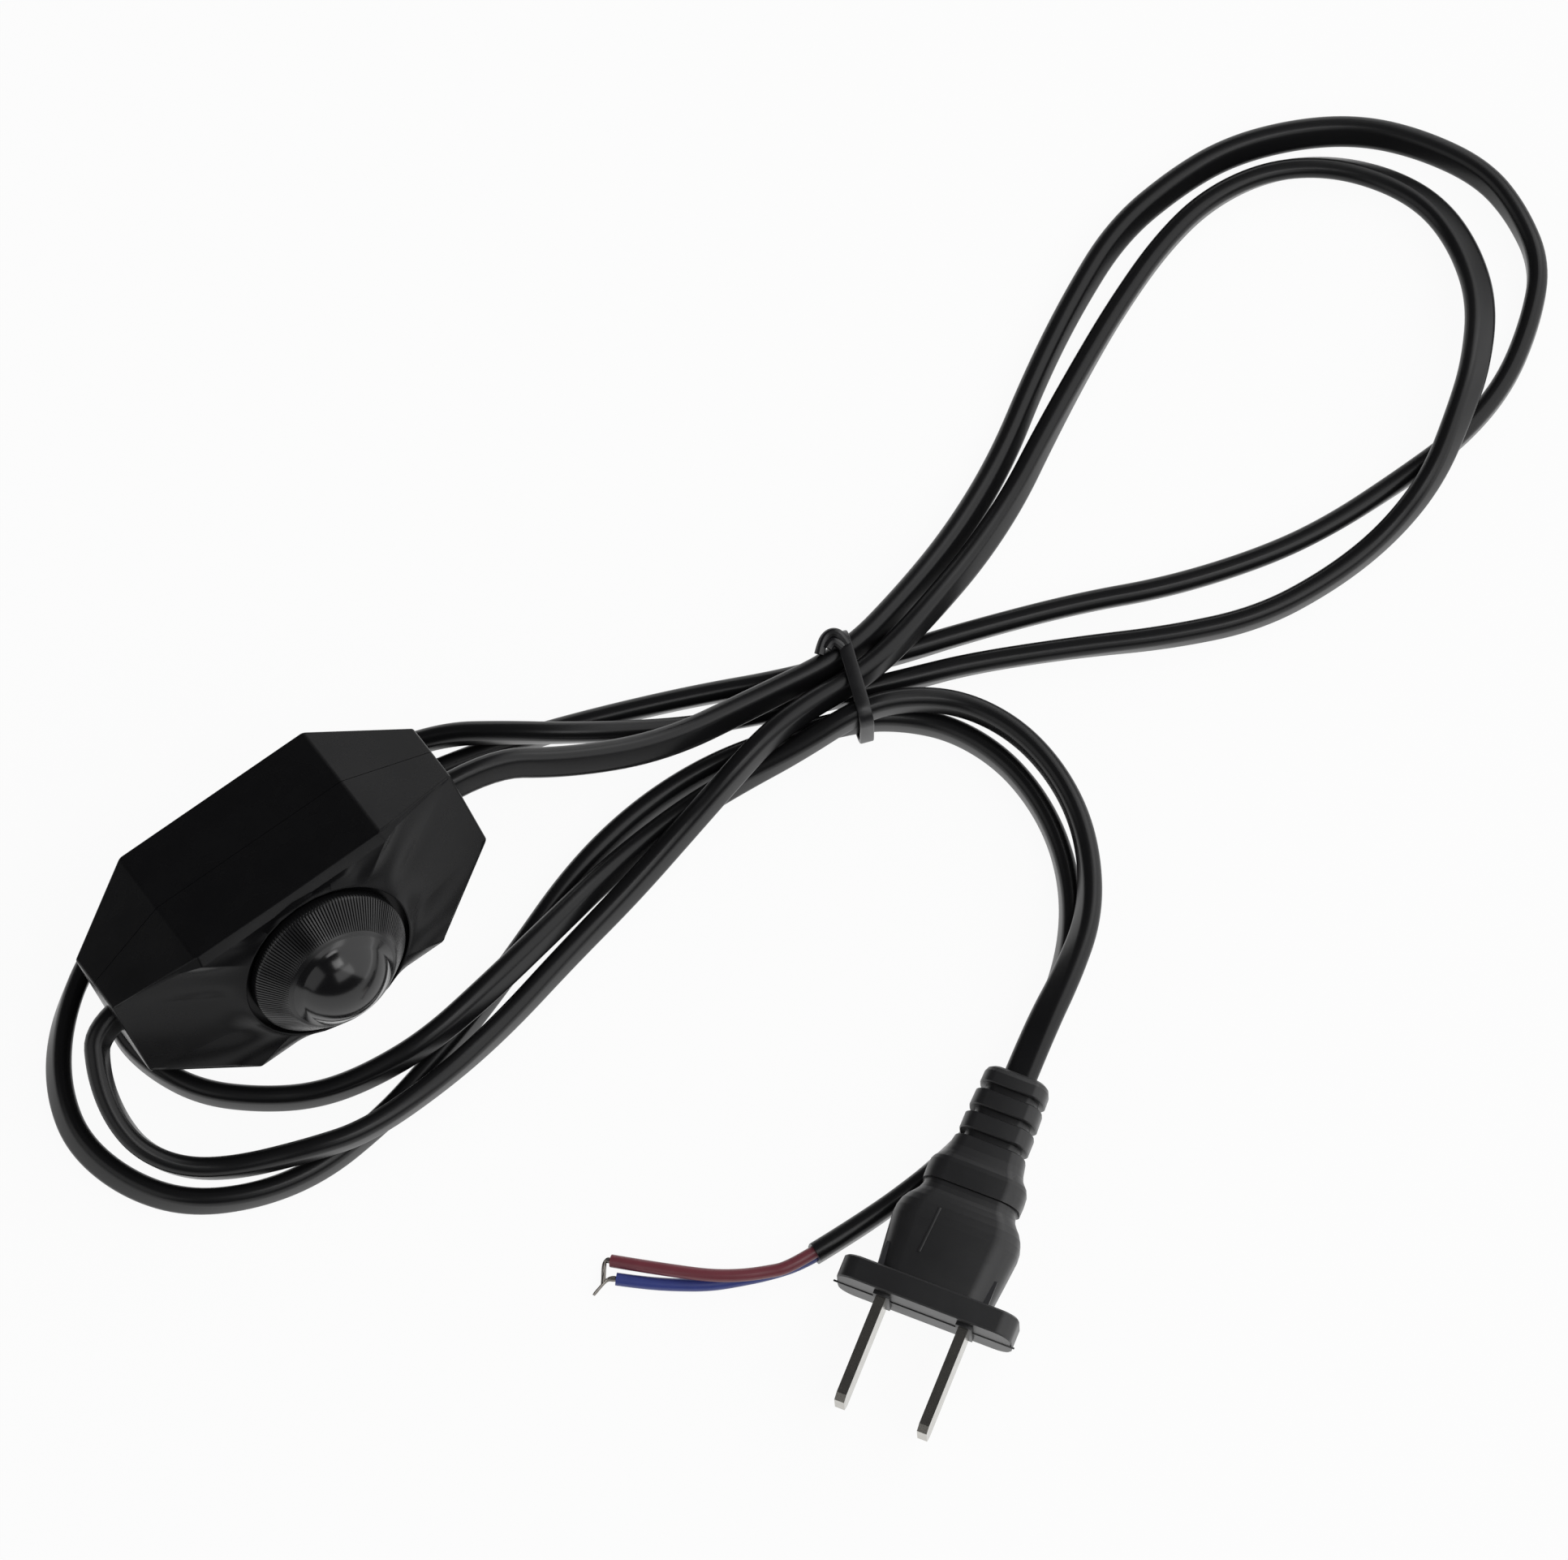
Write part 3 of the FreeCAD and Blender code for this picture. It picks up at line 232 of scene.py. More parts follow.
def roundedPlate(wide, high, corner, steps):
    # a flat rectangle with rounded corners
    bm = bmesh.new()
    bmesh.ops.create_grid(bm, x_segments=1, y_segments=1, size=0.5)
    bmesh.ops.scale(bm, vec=(wide, high, 1), verts=bm.verts)
    bmesh.ops.bevel(bm, geom=bm.verts[:], offset=corner, segments=steps, profile=0.5, affect="VERTICES",
                    material=-1)
    return bm


casing = {"length": 59.0, "mid": 32.0, "width": 27.6, "endWidth": 16.0, "high": 24.4, "endHigh": 11.8,
          "seam": 0.1, "edge": 0.35, "edgeSteps": 3, "sideSteps": 9,
          # rounded top edge: in from the side and down from the top, as shares of the edge's radius
          "edgeRound": ((0, 1), (0.08, 0.5), (0.4, 0.12), (1, 0)),
          # sloping ledge along the long sides, and how soon it faces the knob towards the ends
          "ledge": 0.95, "ledgeTurn": 3,
          # collar round the knob: its foot on the tapered ends, its rim, the throat and the well inside
          "footRadius": 16.5, "footSoft": 0.1, "rimRadius": 13.4, "rimHigh": 14.8,
          "throatRadius": 13.05, "throatHigh": 14.3, "wellHigh": 13.3, "rings": 22,
          # rounded edges of the rim and the throat: out from their radius and up from their level
          "rimRound": ((-0.15, 0.03), (-0.3, -0.05)), "throatRound": ((0.08, 0.12), (0, -0.1)),
          # where the rise over the end facets starts to blend into the sides', and over how much, both
          # as shares of the corner's angle
          "blendFrom": 0.75, "blendOver": 1.1,
          # cavity: wall at the seam, depth, and how much its floor draws in
          "wall": 1.8, "cavity": 8.5, "cavityDraw": (0.6, 0.85, 1),
          # screw recesses in the back, drilled from outside it
          "screwAt": (17.2, 8.6), "screwRecess": 2.4, "screwSides": 40, "screwFloor": -9.2,
          "screwPast": 2.0}


def topLevel(x):
    # flat over the middle, falling away towards both ends
    fall = (casing["high"] - casing["endHigh"]) / (casing["length"] - casing["mid"])
    return casing["high"] / 2 - max(0.0, abs(x) - casing["mid"] / 2) * fall


def casingBlank():
    # a block whose ends taper in width and in height
    bm = bmesh.new()
    bmesh.ops.create_cube(bm, size=1.0)
    bmesh.ops.scale(bm, vec=(casing["length"], casing["width"], casing["high"]), verts=bm.verts)
    half = casing["mid"] / 2
    run = (casing["length"] - casing["mid"]) / 2
    inY = (casing["width"] - casing["endWidth"]) / 2
    inZ = (casing["high"] - casing["endHigh"]) / 2
    for sx in (1, -1):
        for s in (1, -1):
            cutBy(bm, (sx * half, s * casing["width"] / 2, 0), (sx * inY, s * run, 0))
            cutBy(bm, (sx * half, 0, s * casing["high"] / 2), (sx * inZ, 0, s * run))
    return bm


def hollowed(bm, side):
    # a cavity sunk into the face at the seam: side 1 for the upper half, -1 for the lower
    level = side * casing["seam"] / 2
    seam = min(bm.faces, key=lambda f: abs(f.calc_center_median().z - level) + abs(1 - abs(f.normal.z)))
    bmesh.ops.inset_region(bm, faces=[seam], thickness=casing["wall"], use_even_offset=True)
    sunk = bmesh.ops.extrude_face_region(bm, geom=[seam])
    verts = [g for g in sunk["geom"] if isinstance(g, bmesh.types.BMVert)]
    bmesh.ops.translate(bm, vec=(0, 0, side * casing["cavity"]), verts=verts)
    bmesh.ops.scale(bm, vec=casing["cavityDraw"], verts=verts)


def planOutline():
    # the casing seen from above, anticlockwise, corners rounded, each side in even steps
    bm = bmesh.new()
    bmesh.ops.create_grid(bm, x_segments=1, y_segments=1, size=0.5)
    bmesh.ops.scale(bm, vec=(casing["length"], casing["width"], 1), verts=bm.verts)
    run = (casing["length"] - casing["mid"]) / 2
    inY = (casing["width"] - casing["endWidth"]) / 2
    for sx in (1, -1):
        for s in (1, -1):
            bmesh.ops.bisect_plane(bm, geom=bm.verts[:] + bm.edges[:] + bm.faces[:], dist=1e-5,
                                   plane_co=(sx * casing["mid"] / 2, s * casing["width"] / 2, 0),
                                   plane_no=(sx * inY, s * run, 0), clear_outer=True)
    bmesh.ops.bevel(bm, geom=bm.verts[:], offset=casing["edge"], segments=casing["edgeSteps"],
                    profile=0.5, affect="VERTICES", material=-1)
    sides = [e for e in bm.edges if e.calc_length() > 5 * casing["edge"]]
    bmesh.ops.subdivide_edges(bm, edges=sides, cuts=casing["sideSteps"])
    points = [v.co.xy.copy() for v in bm.faces[:][0].verts]
    bm.free()
    return sorted(points, key=lambda c: math.atan2(c.y, c.x))


def collarRise(share, onEnd):
    # how far up from the edge to the rim; over the tapered ends it follows the taper, then turns up
    end = casing["length"] / 2
    foot = (end - casing["footRadius"]) / (end - casing["rimRadius"])
    level = (topLevel(casing["footRadius"]) - topLevel(end)) / (casing["rimHigh"] - topLevel(end))
    low = level / foot
    steep = (1 - level) / (1 - foot)

    def bend(s):
        return 0.5 * (s - foot + math.sqrt((s - foot) ** 2 + casing["footSoft"] ** 2))

    curved = low * share + (steep - low) * (bend(share) - bend(0))
    full = low + (steep - low) * (bend(1) - bend(0))
    return (1 - onEnd) * share + onEnd * curved / full


def collarSpot(c, share):
    # over a point of the outline, this share of the way from the ledge up to the collar's rim
    toEnd = max(0.0, abs(c.x) - casing["mid"] / 2) / (casing["length"] - casing["mid"]) * 2
    ledge = casing["ledge"] * (1 - toEnd) ** 2
    outward = Vector((0, 1 if c.y > 0 else -1)).lerp(c.normalized(), min(1.0, casing["ledgeTurn"] * toEnd))
    start = c - outward.normalized() * (casing["edge"] + ledge)
    # 1 over the end facets, 0 over the long sides
    cornerAt = math.atan2(casing["endWidth"] / 2, casing["length"] / 2)
    lean = math.atan2(abs(c.y), abs(c.x)) / cornerAt
    onEnd = 1 - min(1.0, max(0.0, (lean - casing["blendFrom"]) / casing["blendOver"]))
    onEnd = onEnd * onEnd * (3 - 2 * onEnd)
    base = topLevel(c.x) + ledge
    level = base + (casing["rimHigh"] - base) * collarRise(share, onEnd)
    return start.lerp(c.normalized() * casing["rimRadius"], share), level


def upperCasing():
    # rings of points from the seam up the side, over the edge, up to the rim and down into the well
    outline = planOutline()
    edge = casing["edge"]
    rings = [[(c, casing["seam"] / 2) for c in outline]]
    for inward, down in casing["edgeRound"]:
        rings.append([(c * (1 - inward * edge / c.length), topLevel(c.x) - down * edge) for c in outline])
    for n in range(casing["rings"]):
        rings.append([collarSpot(c, n / (casing["rings"] - 1)) for c in outline])
    lip = [(casing["rimRadius"] + out, casing["rimHigh"] + up) for out, up in casing["rimRound"]]
    lip += [(casing["throatRadius"] + out, casing["throatHigh"] + up) for out, up in casing["throatRound"]]
    lip.append((casing["throatRadius"], casing["wellHigh"]))
    for radius, level in lip:
        rings.append([(c.normalized() * radius, level) for c in outline])
    bm = bmesh.new()
    loops = [[bm.verts.new((at.x, at.y, z)) for at, z in ring] for ring in rings]
    for low, top in zip(loops, loops[1:]):
        for n in range(len(low)):
            m = (n + 1) % len(low)
            bm.faces.new((low[n], low[m], top[m], top[n]))
    bm.faces.new(loops[-1])
    bm.faces.new(loops[0][::-1])
    bm.normal_update()
    hollowed(bm, 1)
    made = finished(bm, "upperCasing", casePlace, sparkedAbs, "base", sharp=35)
    evenShading(made)
    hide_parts("upper_casing")


def evenShading(piece):
    # large flat faces keep their own direction, the small rounded edges blend between them
    steady = piece.modifiers.new("steady", "WEIGHTED_NORMAL")
    steady.keep_sharp = True
    steady.weight = 100


def lowerCasing():
    bm = casingBlank()
    cutBy(bm, (0, 0, -casing["seam"] / 2), (0, 0, 1))
    softened(bm, casing["edge"], casing["edgeSteps"], keep=-casing["seam"] / 2)
    hollowed(bm, -1)
    made = finished(bm, "lowerCasing", casePlace, sparkedAbs, "base")
    drill = bmesh.new()
    start = -casing["high"] / 2 - casing["screwPast"]
    for sx in (1, -1):
        for sy in (1, -1):
            hole = bmesh.ops.create_cone(drill, cap_ends=True, segments=casing["screwSides"],
                                         radius1=casing["screwRecess"], radius2=casing["screwRecess"],
                                         depth=casing["screwFloor"] - start)
            bmesh.ops.translate(drill, verts=hole["verts"], vec=(
                sx * casing["screwAt"][0], sy * casing["screwAt"][1], (casing["screwFloor"] + start) / 2))
    holes = finished(drill, "screwHoles", casePlace, sparkedAbs, "base")
    cut = made.modifiers.new("cut", "BOOLEAN")
    cut.operation = "DIFFERENCE"
    cut.solver = "EXACT"
    cut.object = holes
    drilled = meshOf(made)
    made.modifiers.clear()
    made.data = drilled
    bpy.data.objects.remove(holes)
    made.data.set_sharp_from_angle(angle=math.radians(plainSharp))
    evenShading(made)
    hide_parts("lower_casing")


upperCasing()
lowerCasing()
print("casing made")

knob = {"skirtRadius": 12.05, "skirtWall": 1.6, "low": 13.8, "skirtTop": 15.8, "edge": 0.3,
        # the knurled slope runs from the skirt's shoulder to just short of the ring's top edge
        "shoulder": 0.25, "ringRadius": 8.3, "ringTop": 19.3, "slopeShort": (0.35, -0.1), "slopeSteps": 6,
        # small hollow where the dome meets the ring: out from the dome's radius, up from the ring's top
        "hollow": ((0.7, 0.12), (0.4, 0.26), (0.14, 0.46)),
        # dome: a cap of a ball, less a foot whose angle is in radians
        "domeRadius": 7.6, "domeRise": 4.6, "domeSteps": 18, "domeCut": 0.05,
        # knurl: fine grooves down the slope, so many steps from one to the next, short of the ring
        "lines": 150, "lineSteps": 4, "lineDepth": 0.3, "lineStop": 0.5}


def dimmerKnob():
    skirt, low, top = knob["skirtRadius"], knob["low"], knob["skirtTop"]
    shoulder = skirt - knob["shoulder"]
    # radius and height, from the skirt's inner edge up over the ring to the middle of the dome
    profile = [(skirt - knob["skirtWall"], low), (skirt - knob["edge"], low), (skirt, low + knob["edge"]),
               (skirt, top - knob["edge"]), (shoulder, top)]
    endRadius = knob["ringRadius"] + knob["slopeShort"][0]
    endTop = knob["ringTop"] + knob["slopeShort"][1]
    for n in range(1, knob["slopeSteps"] + 1):
        t = n / knob["slopeSteps"]
        profile.append((shoulder + (endRadius - shoulder) * t, top + (endTop - top) * t))
    profile += [(knob["domeRadius"] + out, knob["ringTop"] + up) for out, up in knob["hollow"]]
    ball = (knob["domeRadius"] ** 2 + knob["domeRise"] ** 2) / (2 * knob["domeRise"])
    foot = math.asin(knob["domeRadius"] / ball) - knob["domeCut"]
    for n in range(1, knob["domeSteps"] + 1):
        a = foot * (1 - n / knob["domeSteps"])
        profile.append((ball * math.sin(a), knob["ringTop"] + knob["domeRise"] - ball + ball * math.cos(a)))
    bm = bmesh.new()
    verts = [bm.verts.new((r, 0, z)) for r, z in profile]
    edges = [bm.edges.new(pair) for pair in zip(verts, verts[1:])]
    turns = knob["lineSteps"] * knob["lines"]
    bmesh.ops.spin(bm, geom=verts + edges, cent=(0, 0, 0), axis=(0, 0, 1), dvec=(0, 0, 0),
                   angle=2 * math.pi, steps=turns, use_merge=True)
    bmesh.ops.remove_doubles(bm, verts=bm.verts, dist=0.001)
    bm.faces.index_update()
    grooves = []
    for v in bm.verts:
        onSlope = knob["ringRadius"] + knob["lineStop"] < v.co.xy.length < skirt - knob["shoulder"] / 2
        step = round(math.atan2(v.co.y, v.co.x) / (2 * math.pi) * turns)
        if onSlope and v.co.z > top - knob["edge"] / 2 and step % knob["lineSteps"] == 0:
            grooves.append(v)
    bmesh.ops.translate(bm, vec=(0, 0, -knob["lineDepth"]), verts=grooves)
    domeEdge = knob["domeRadius"] + knob["hollow"][1][0]
    dome = [f.index for f in bm.faces if max(v.co.xy.length for v in f.verts) < domeEdge]
    made = finished(bm, "dimmerKnob", casePlace, ringAbs, "knob", sharp=40)
    made.data.materials.append(polishedAbs)
    for n in dome:
        made.data.polygons[n].material_index = 1
    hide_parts("dimmer_knob")


dimmerKnob()
print("knob made")

# cords: each point is x, y, z in mm and the flat cord's turn about its own line in degrees
flatCord = {"width": 4.9, "thick": 3.0, "sideSteps": 8, "sideFlat": 0.04}
supplyCord = {
    "length": 0.705, "exit": (29.33, 2.85, 22.35),
    "route": [
        (21.88, 2.85, 21.55, 65.6), (34.8, 2.85, 22.93, 65), (46.1, -2.6, 17.5, 60), (60.2, -6.5, 11.6, 57),
        (75.5, -7.6, 9, 65), (90.6, -9.1, 8.5, 80), (103.4, -5.8, 6.8, 70), (115.5, -1.4, 4.5, 62),
        (127.9, 5.0, 2.6, 64), (139.5, 13, 2.46, 73), (150.5, 19.5, 2.45, 72), (163, 25.5, 2.4, 64),
        (175, 27, 2.39, 62), (184.5, 26.5, 2.36, 58), (194.5, 23, 2.35, 57), (202.5, 18, 2.34, 56),
        (208.5, 11, 2.39, 62), (213, 2.5, 2.42, 67), (213.5, -5.5, 2.49, 80), (211.5, -14.5, 2.5, 90),
        (205, -21, 2.5, 90), (196, -27, 2.5, 86), (185.5, -30, 2.49, 84), (175, -30.5, 2.49, 80),
        (162, -30.5, 2.45, 72), (151, -29, 2.46, 73), (137, -25, 2.46, 74), (124.5, -19.5, 2.46, 74),
        (109.3, -14.3, 2.47, 76), (97.8, -11.0, 2.49, 84), (90.8, -8.5, 3.3, 88), (81.5, -4.9, 2.5, 82),
        (70.5, 0.1, 2.5, 76), (57.5, 5, 2.5, 78), (45.5, 8.8, 2.5, 88), (34.5, 11.6, 2.5, 86),
        (24, 13.2, 2.49, 84), (12, 13.4, 2.49, 82), (0, 13.2, 2.49, 82), (-11, 14, 2.49, 82),
        (-20, 13.3, 2.49, 84), (-25.6, 10, 2.5, 88), (-28, 4, 2.5, 90), (-26.8, -3, 2.5, 90),
        (-23.2, -10, 2.5, 86), (-16.9, -15.6, 2.49, 84), (-10, -19.7, 2.49, 84), (-2.5, -22.2, 4.4, 82),
        (7.3, -23.6, 7.5, 78), (18.8, -22.0, 8.2, 66), (31.8, -19.0, 6.7, 68), (45.2, -15.3, 3.2, 68),
        (58.9, -13.9, 2.49, 70), (68, -14.5, 3.3, 76), (77, -16.2, 6.0, 86), (87.8, -17.1, 8.8, 88),
        (95, -19.6, 7.7, 88), (101, -24.3, 6.8, 88), (104.8, -31.5, 6.7, 88), (106, -39.5, 6.7, 88),
        (105, -47.8, 6.7, 86), (101.7, -55.5, 6.9, 78), (96.5, -62.3, 7.8, 60), (89.3, -67.6, 9.3, 40),
        (80.19, -73.03, 10.7, 10), (71.49, -78.86, 9.93, 0)]}
outputCord = {
    "length": 0.848, "exit": (-29.33, 2.85, 16.08),
    "route": [
        (-24.26, 2.85, 16.62, 114.4), (-32.22, 2.85, 15.77, 112), (-35.4, -2.2, 12.3, 108),
        (-36.7, -8.2, 9.4, 112), (-35.9, -14, 7.2, 108), (-32, -19.3, 5.6, 102), (-25.5, -23.4, 5.3, 92),
        (-16, -27.7, 7.8, 92), (-7.5, -30.1, 8.0, 90), (6, -29.3, 7.0, 90), (18.5, -26.4, 3.8, 82),
        (32.2, -22.5, 2.6, 76), (45.2, -19.7, 3.4, 70), (57.4, -16.8, 5.6, 74), (65.8, -15.2, 8.9, 76),
        (74, -13.3, 10.1, 78), (81.5, -12.6, 9.5, 76), (89.3, -12.8, 8.5, 74), (96.5, -11.8, 7.9, 76),
        (105.5, -9.3, 6.9, 66), (116, -5.5, 4.5, 62), (126.3, -0.6, 2.5, 68), (135, 4.5, 2.5, 78),
        (146, 10.5, 2.5, 90), (156, 15.5, 2.5, 94), (167, 20, 2.5, 94), (176.8, 22.1, 2.49, 98),
        (186.7, 20.9, 2.46, 108), (194.9, 16.4, 2.37, 120), (201, 9.5, 2.21, 136), (204, 2, 2.6, 148),
        (203.5, -6.5, 3.6, 154), (200, -15.5, 5.8, 150), (193, -23.5, 7.9, 138), (186.8, -28.3, 8.2, 122),
        (178, -34.0, 6.4, 106), (168.5, -36.5, 3, 94), (157.5, -37.5, 2.5, 90), (145, -36.5, 2.5, 90),
        (132.5, -31.5, 2.5, 86), (120.5, -25.1, 2.47, 76), (106.5, -18.5, 2.47, 76),
        (97.5, -15.4, 2.49, 84), (89.3, -12.8, 3.3, 88), (79.5, -8.9, 2.6, 78), (69, -4.6, 2.9, 68),
        (60.5, -0.8, 5.0, 70), (50.7, 4.2, 7.7, 76), (42.7, 9.7, 7.9, 86), (35.8, 15.0, 6.0, 86),
        (26, 18.8, 2.5, 86), (14, 20, 2.5, 86), (2, 19.8, 2.5, 86), (-10, 20.3, 2.5, 86),
        (-20, 18.8, 2.5, 86), (-28.5, 14.6, 2.49, 84), (-35.7, 8.6, 2.42, 66), (-40.3, 1.5, 2.37, 60),
        (-42.2, -6.5, 2.38, 61), (-39.8, -15.5, 2.42, 67), (-34.2, -23, 2.48, 78), (-25, -27.8, 2.5, 86),
        (-15, -29.6, 2.49, 84), (-4, -28.2, 2.49, 80), (3, -26.5, 2.48, 78), (14.5, -23, 2.48, 78),
        (26, -18.6, 2.46, 74), (40.3, -12.8, 2.46, 72), (53.0, -10.1, 2.48, 78), (65.5, -10.1, 2.49, 80),
        (77, -12.7, 2.5, 84), (87.8, -16.6, 3.3, 88), (93.8, -20.4, 2.5, 88), (98.5, -25.6, 2.5, 88),
        (101.6, -33, 2.5, 88), (102.3, -41, 2.5, 88), (101, -49, 2.5, 88), (97.5, -57, 2.49, 80),
        (91.8, -64, 2.44, 70), (84, -69.8, 2.42, 66), (75, -75, 2.37, 60), (65.5, -78.5, 2.42, 66),
        (55.5, -79.9, 2.47, 76), (45.5, -80.6, 2.49, 84), (36, -80.3, 2.49, 82)]}


def splineOf(name, route):
    curve = bpy.data.curves.new(name, "CURVE")
    curve.dimensions = "3D"
    curve.twist_mode = "Z_UP"
    spline = curve.splines.new("NURBS")
    spline.points.add(len(route) - 1)
    for point, (x, y, z, *tilt) in zip(spline.points, route):
        point.co = (x * mm, y * mm, z * mm, 1)
        point.tilt = math.radians(tilt[0]) if tilt else 0
    spline.order_u = 3
    spline.use_endpoint_u = True
    spline.resolution_u = 9
    made = bpy.data.objects.new(name, curve)
    scene.collection.objects.link(made)
    return made


def sweptCord(name, route, section, material):
    # the line itself first, for its length, then the sheath drawn along it
    line = splineOf(name + "Line", route)
    bare = meshOf(line)
    path = [tuple(v.co) for v in bare.vertices]
    bpy.data.meshes.remove(bare)
    line.data.bevel_mode = "OBJECT"
    line.data.bevel_object = section
    line.data.use_fill_caps = True
    sheath = meshOf(line)
    bpy.data.objects.remove(line)
    bm = bmesh.new()
    bm.from_mesh(sheath)
    bmesh.ops.remove_doubles(bm, verts=bm.verts, dist=1e-6)
    bmesh.ops.scale(bm, vec=(1 / mm,) * 3, verts=bm.verts)
    made = finished(bm, name, Matrix(), material, "base", sharp=50)
    return made, path


def sectionOf(name, bm):
    # a closed outline in the plane, as a curve that a cord can be drawn along
    mesh = bpy.data.meshes.new(name)
    bmesh.ops.scale(bm, vec=(mm,) * 3, verts=bm.verts)
    bm.to_mesh(mesh)
    bm.free()
    curve = bpy.data.curves.new(name, "CURVE")
    curve.dimensions = "2D"
    spline = curve.splines.new("POLY")
    order = mesh.polygons[0].vertices[:]
    spline.points.add(len(order) - 1)
    for point, n in zip(spline.points, order):
        point.co = (*mesh.vertices[n].co[:2], 0, 1)
    spline.use_cyclic_u = True
    made = bpy.data.objects.new(name, curve)
    scene.collection.objects.link(made)
    return made


def flatSection():
    # the narrow sides are round but for a sliver that stays flat
    corner = (flatCord["thick"] - flatCord["sideFlat"]) / 2
    plate = roundedPlate(flatCord["width"], flatCord["thick"], corner, flatCord["sideSteps"])
    return sectionOf("flatSection", plate)


def roundSection(name, radius, steps=16):
    bm = bmesh.new()
    bmesh.ops.create_circle(bm, cap_ends=True, radius=radius, segments=steps)
    return sectionOf(name, bm)


sheathSection = flatSection()
supply, supplyPath = sweptCord("supplyCord", supplyCord["route"], sheathSection, extrudedPvc)
output, outputPath = sweptCord("outputCord", outputCord["route"], sheathSection, extrudedPvc)
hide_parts("supply_cord")
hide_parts("output_cord")
bpy.data.objects.remove(sheathSection)
print("cords made")

# bare end: two cores and their strands, each line's points in mm
bareEnd = {
    "coreRadius": 0.95,
    "brown": [(37.5, -80.4, 3.55), (34.0, -80.3, 3.6), (31.0, -79.9, 3.4), (29.4, -79.2, 3.2),
              (25.6, -77.4, 3.2), (21.8, -74.8, 3.1), (18.2, -71.4, 2.8), (15, -68.1, 2.2),
              (12.6, -65.5, 1.6), (11.5, -64.3, 1.3)],
    "blue": [(37.5, -80.4, 1.5), (34.0, -80.2, 1.3), (29.6, -78.9, 1.0), (25.6, -77.3, 1.0),
             (21.2, -75.3, 1.0), (16.9, -72.3, 1.0), (13.4, -69.5, 1.0), (10.6, -66.9, 1.0)],
    "brownTip": [(12.0, -64.8, 1.4), (11.5, -64.3, 1.3), (10.9, -63.6, 1.2), (10, -64.6, 1.1),
                 (8.8, -66.3, 0.9)],
    "blueTip": [(11.2, -67.5, 1.0), (10.6, -66.9, 1.0), (9.8, -66.2, 0.9), (8.6, -66.4, 0.8),
                (6.9, -66.9, 0.7)],
    # strands: how many, how far the outer ones lie from the middle one, and how flat the bundle is
    "strands": 7, "strandRadius": 0.17, "strandSides": 8, "strandOut": 0.3434, "strandFlat": 0.3,
}
coreSection = roundSection("coreSection", bareEnd["coreRadius"])
brownCore = sweptCord("brownCore", bareEnd["brown"], coreSection, brownPvc)[0]
blueCore = sweptCord("blueCore", bareEnd["blue"], coreSection, bluePvc)[0]
bpy.data.objects.remove(coreSection)
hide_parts("brown_core")
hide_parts("blue_core")


def strandBundle():
    # fine wires round a middle one, turning about it from point to point
    wire = roundSection("wireSection", bareEnd["strandRadius"], bareEnd["strandSides"])
    outer = bareEnd["strands"] - 1
    bundle = bmesh.new()
    for line in (bareEnd["brownTip"], bareEnd["blueTip"]):
        for n in range(bareEnd["strands"]):
            out = bareEnd["strandOut"] if n < outer else 0
            around = 2 * math.pi * n / outer
            flat = out * bareEnd["strandFlat"]
            moved = [(x + out * math.cos(around + k), y + flat * math.cos(around + k),
                      z + out * math.sin(around + k)) for k, (x, y, z) in enumerate(line)]
            strand = sweptCord("strand", moved, wire, tinnedCopper)[0]
            bundle.from_mesh(strand.data)
            bpy.data.objects.remove(strand)
    bpy.data.objects.remove(wire)
    bmesh.ops.scale(bundle, vec=(1 / mm,) * 3, verts=bundle.verts)
    made = finished(bundle, "copperStrands", Matrix(), tinnedCopper, "base")
    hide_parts("copper_tips")
    return made


strands = strandBundle()
print("bare end made")

# plug
plug = {
    # stations: distance behind the front face, width, height
    "flange": [(0, 26.5, 10.0), (0.2, 26.9, 10.4), (3.3, 26.9, 10.4), (3.6, 26.3, 9.8)],
    "flangeCorner": 2.6,
    "body": [(3.4, 17.6, 9.4), (5.0, 17.8, 9.7), (9.0, 18.6, 10.1), (12.2, 19.2, 10.2), (13.4, 19.0, 10.1),
             (14.6, 18.3, 9.9), (15.6, 17.1, 9.6), (16.4, 15.7, 9.3), (17.0, 14.8, 9.0), (17.8, 14.2, 8.8),
             (18.4, 14.1, 8.8), (18.55, 14.9, 9.3), (20.2, 15.0, 9.4), (21.5, 14.8, 9.4), (22.1, 14.3, 9.3),
             (22.7, 13.2, 9.0), (23.3, 12.3, 8.8), (24.3, 11.6, 8.5), (26.0, 10.9, 8.4)],
    "tail": [(36.4, 9.9, 8.3), (37.0, 9.4, 7.9), (37.35, 8.4, 7.0)],
    "bodyCorner": 3.6, "cornerSteps": 7,
    # strain relief between body and tail: rings, each with a groove before it
    "ringWide": (10.8, 10.6, 10.2), "ringHigh": 8.4, "ringDeep": 2.5, "grooveWide": 1.2,
    # a groove's two walls: behind where it starts or ends, and how much narrower and lower than its ring
    "grooveStart": ((0.12, 0.3, 0.3), (0.16, 2.2, 2.2)),
    "grooveEnd": ((0, 2.2, 2.2), (0.04, 0.5, 0.3), (0.2, 0.2, 0)),
    # trim: sizes and places of the seam, the collars at the blades' roots and the ridge on top
    "seamSize": (0.3, 27.9, 0.2), "rootSize": (1.0, 2.5, 7.3), "rootOut": 0.05, "rootSide": 6.35,
    "ridgeSize": (7.2, 0.5, 0.5), "ridgeAt": (-10.8, -3.3, 4.9), "ridgeTurn": -4, "trimEdge": 0.08,
}


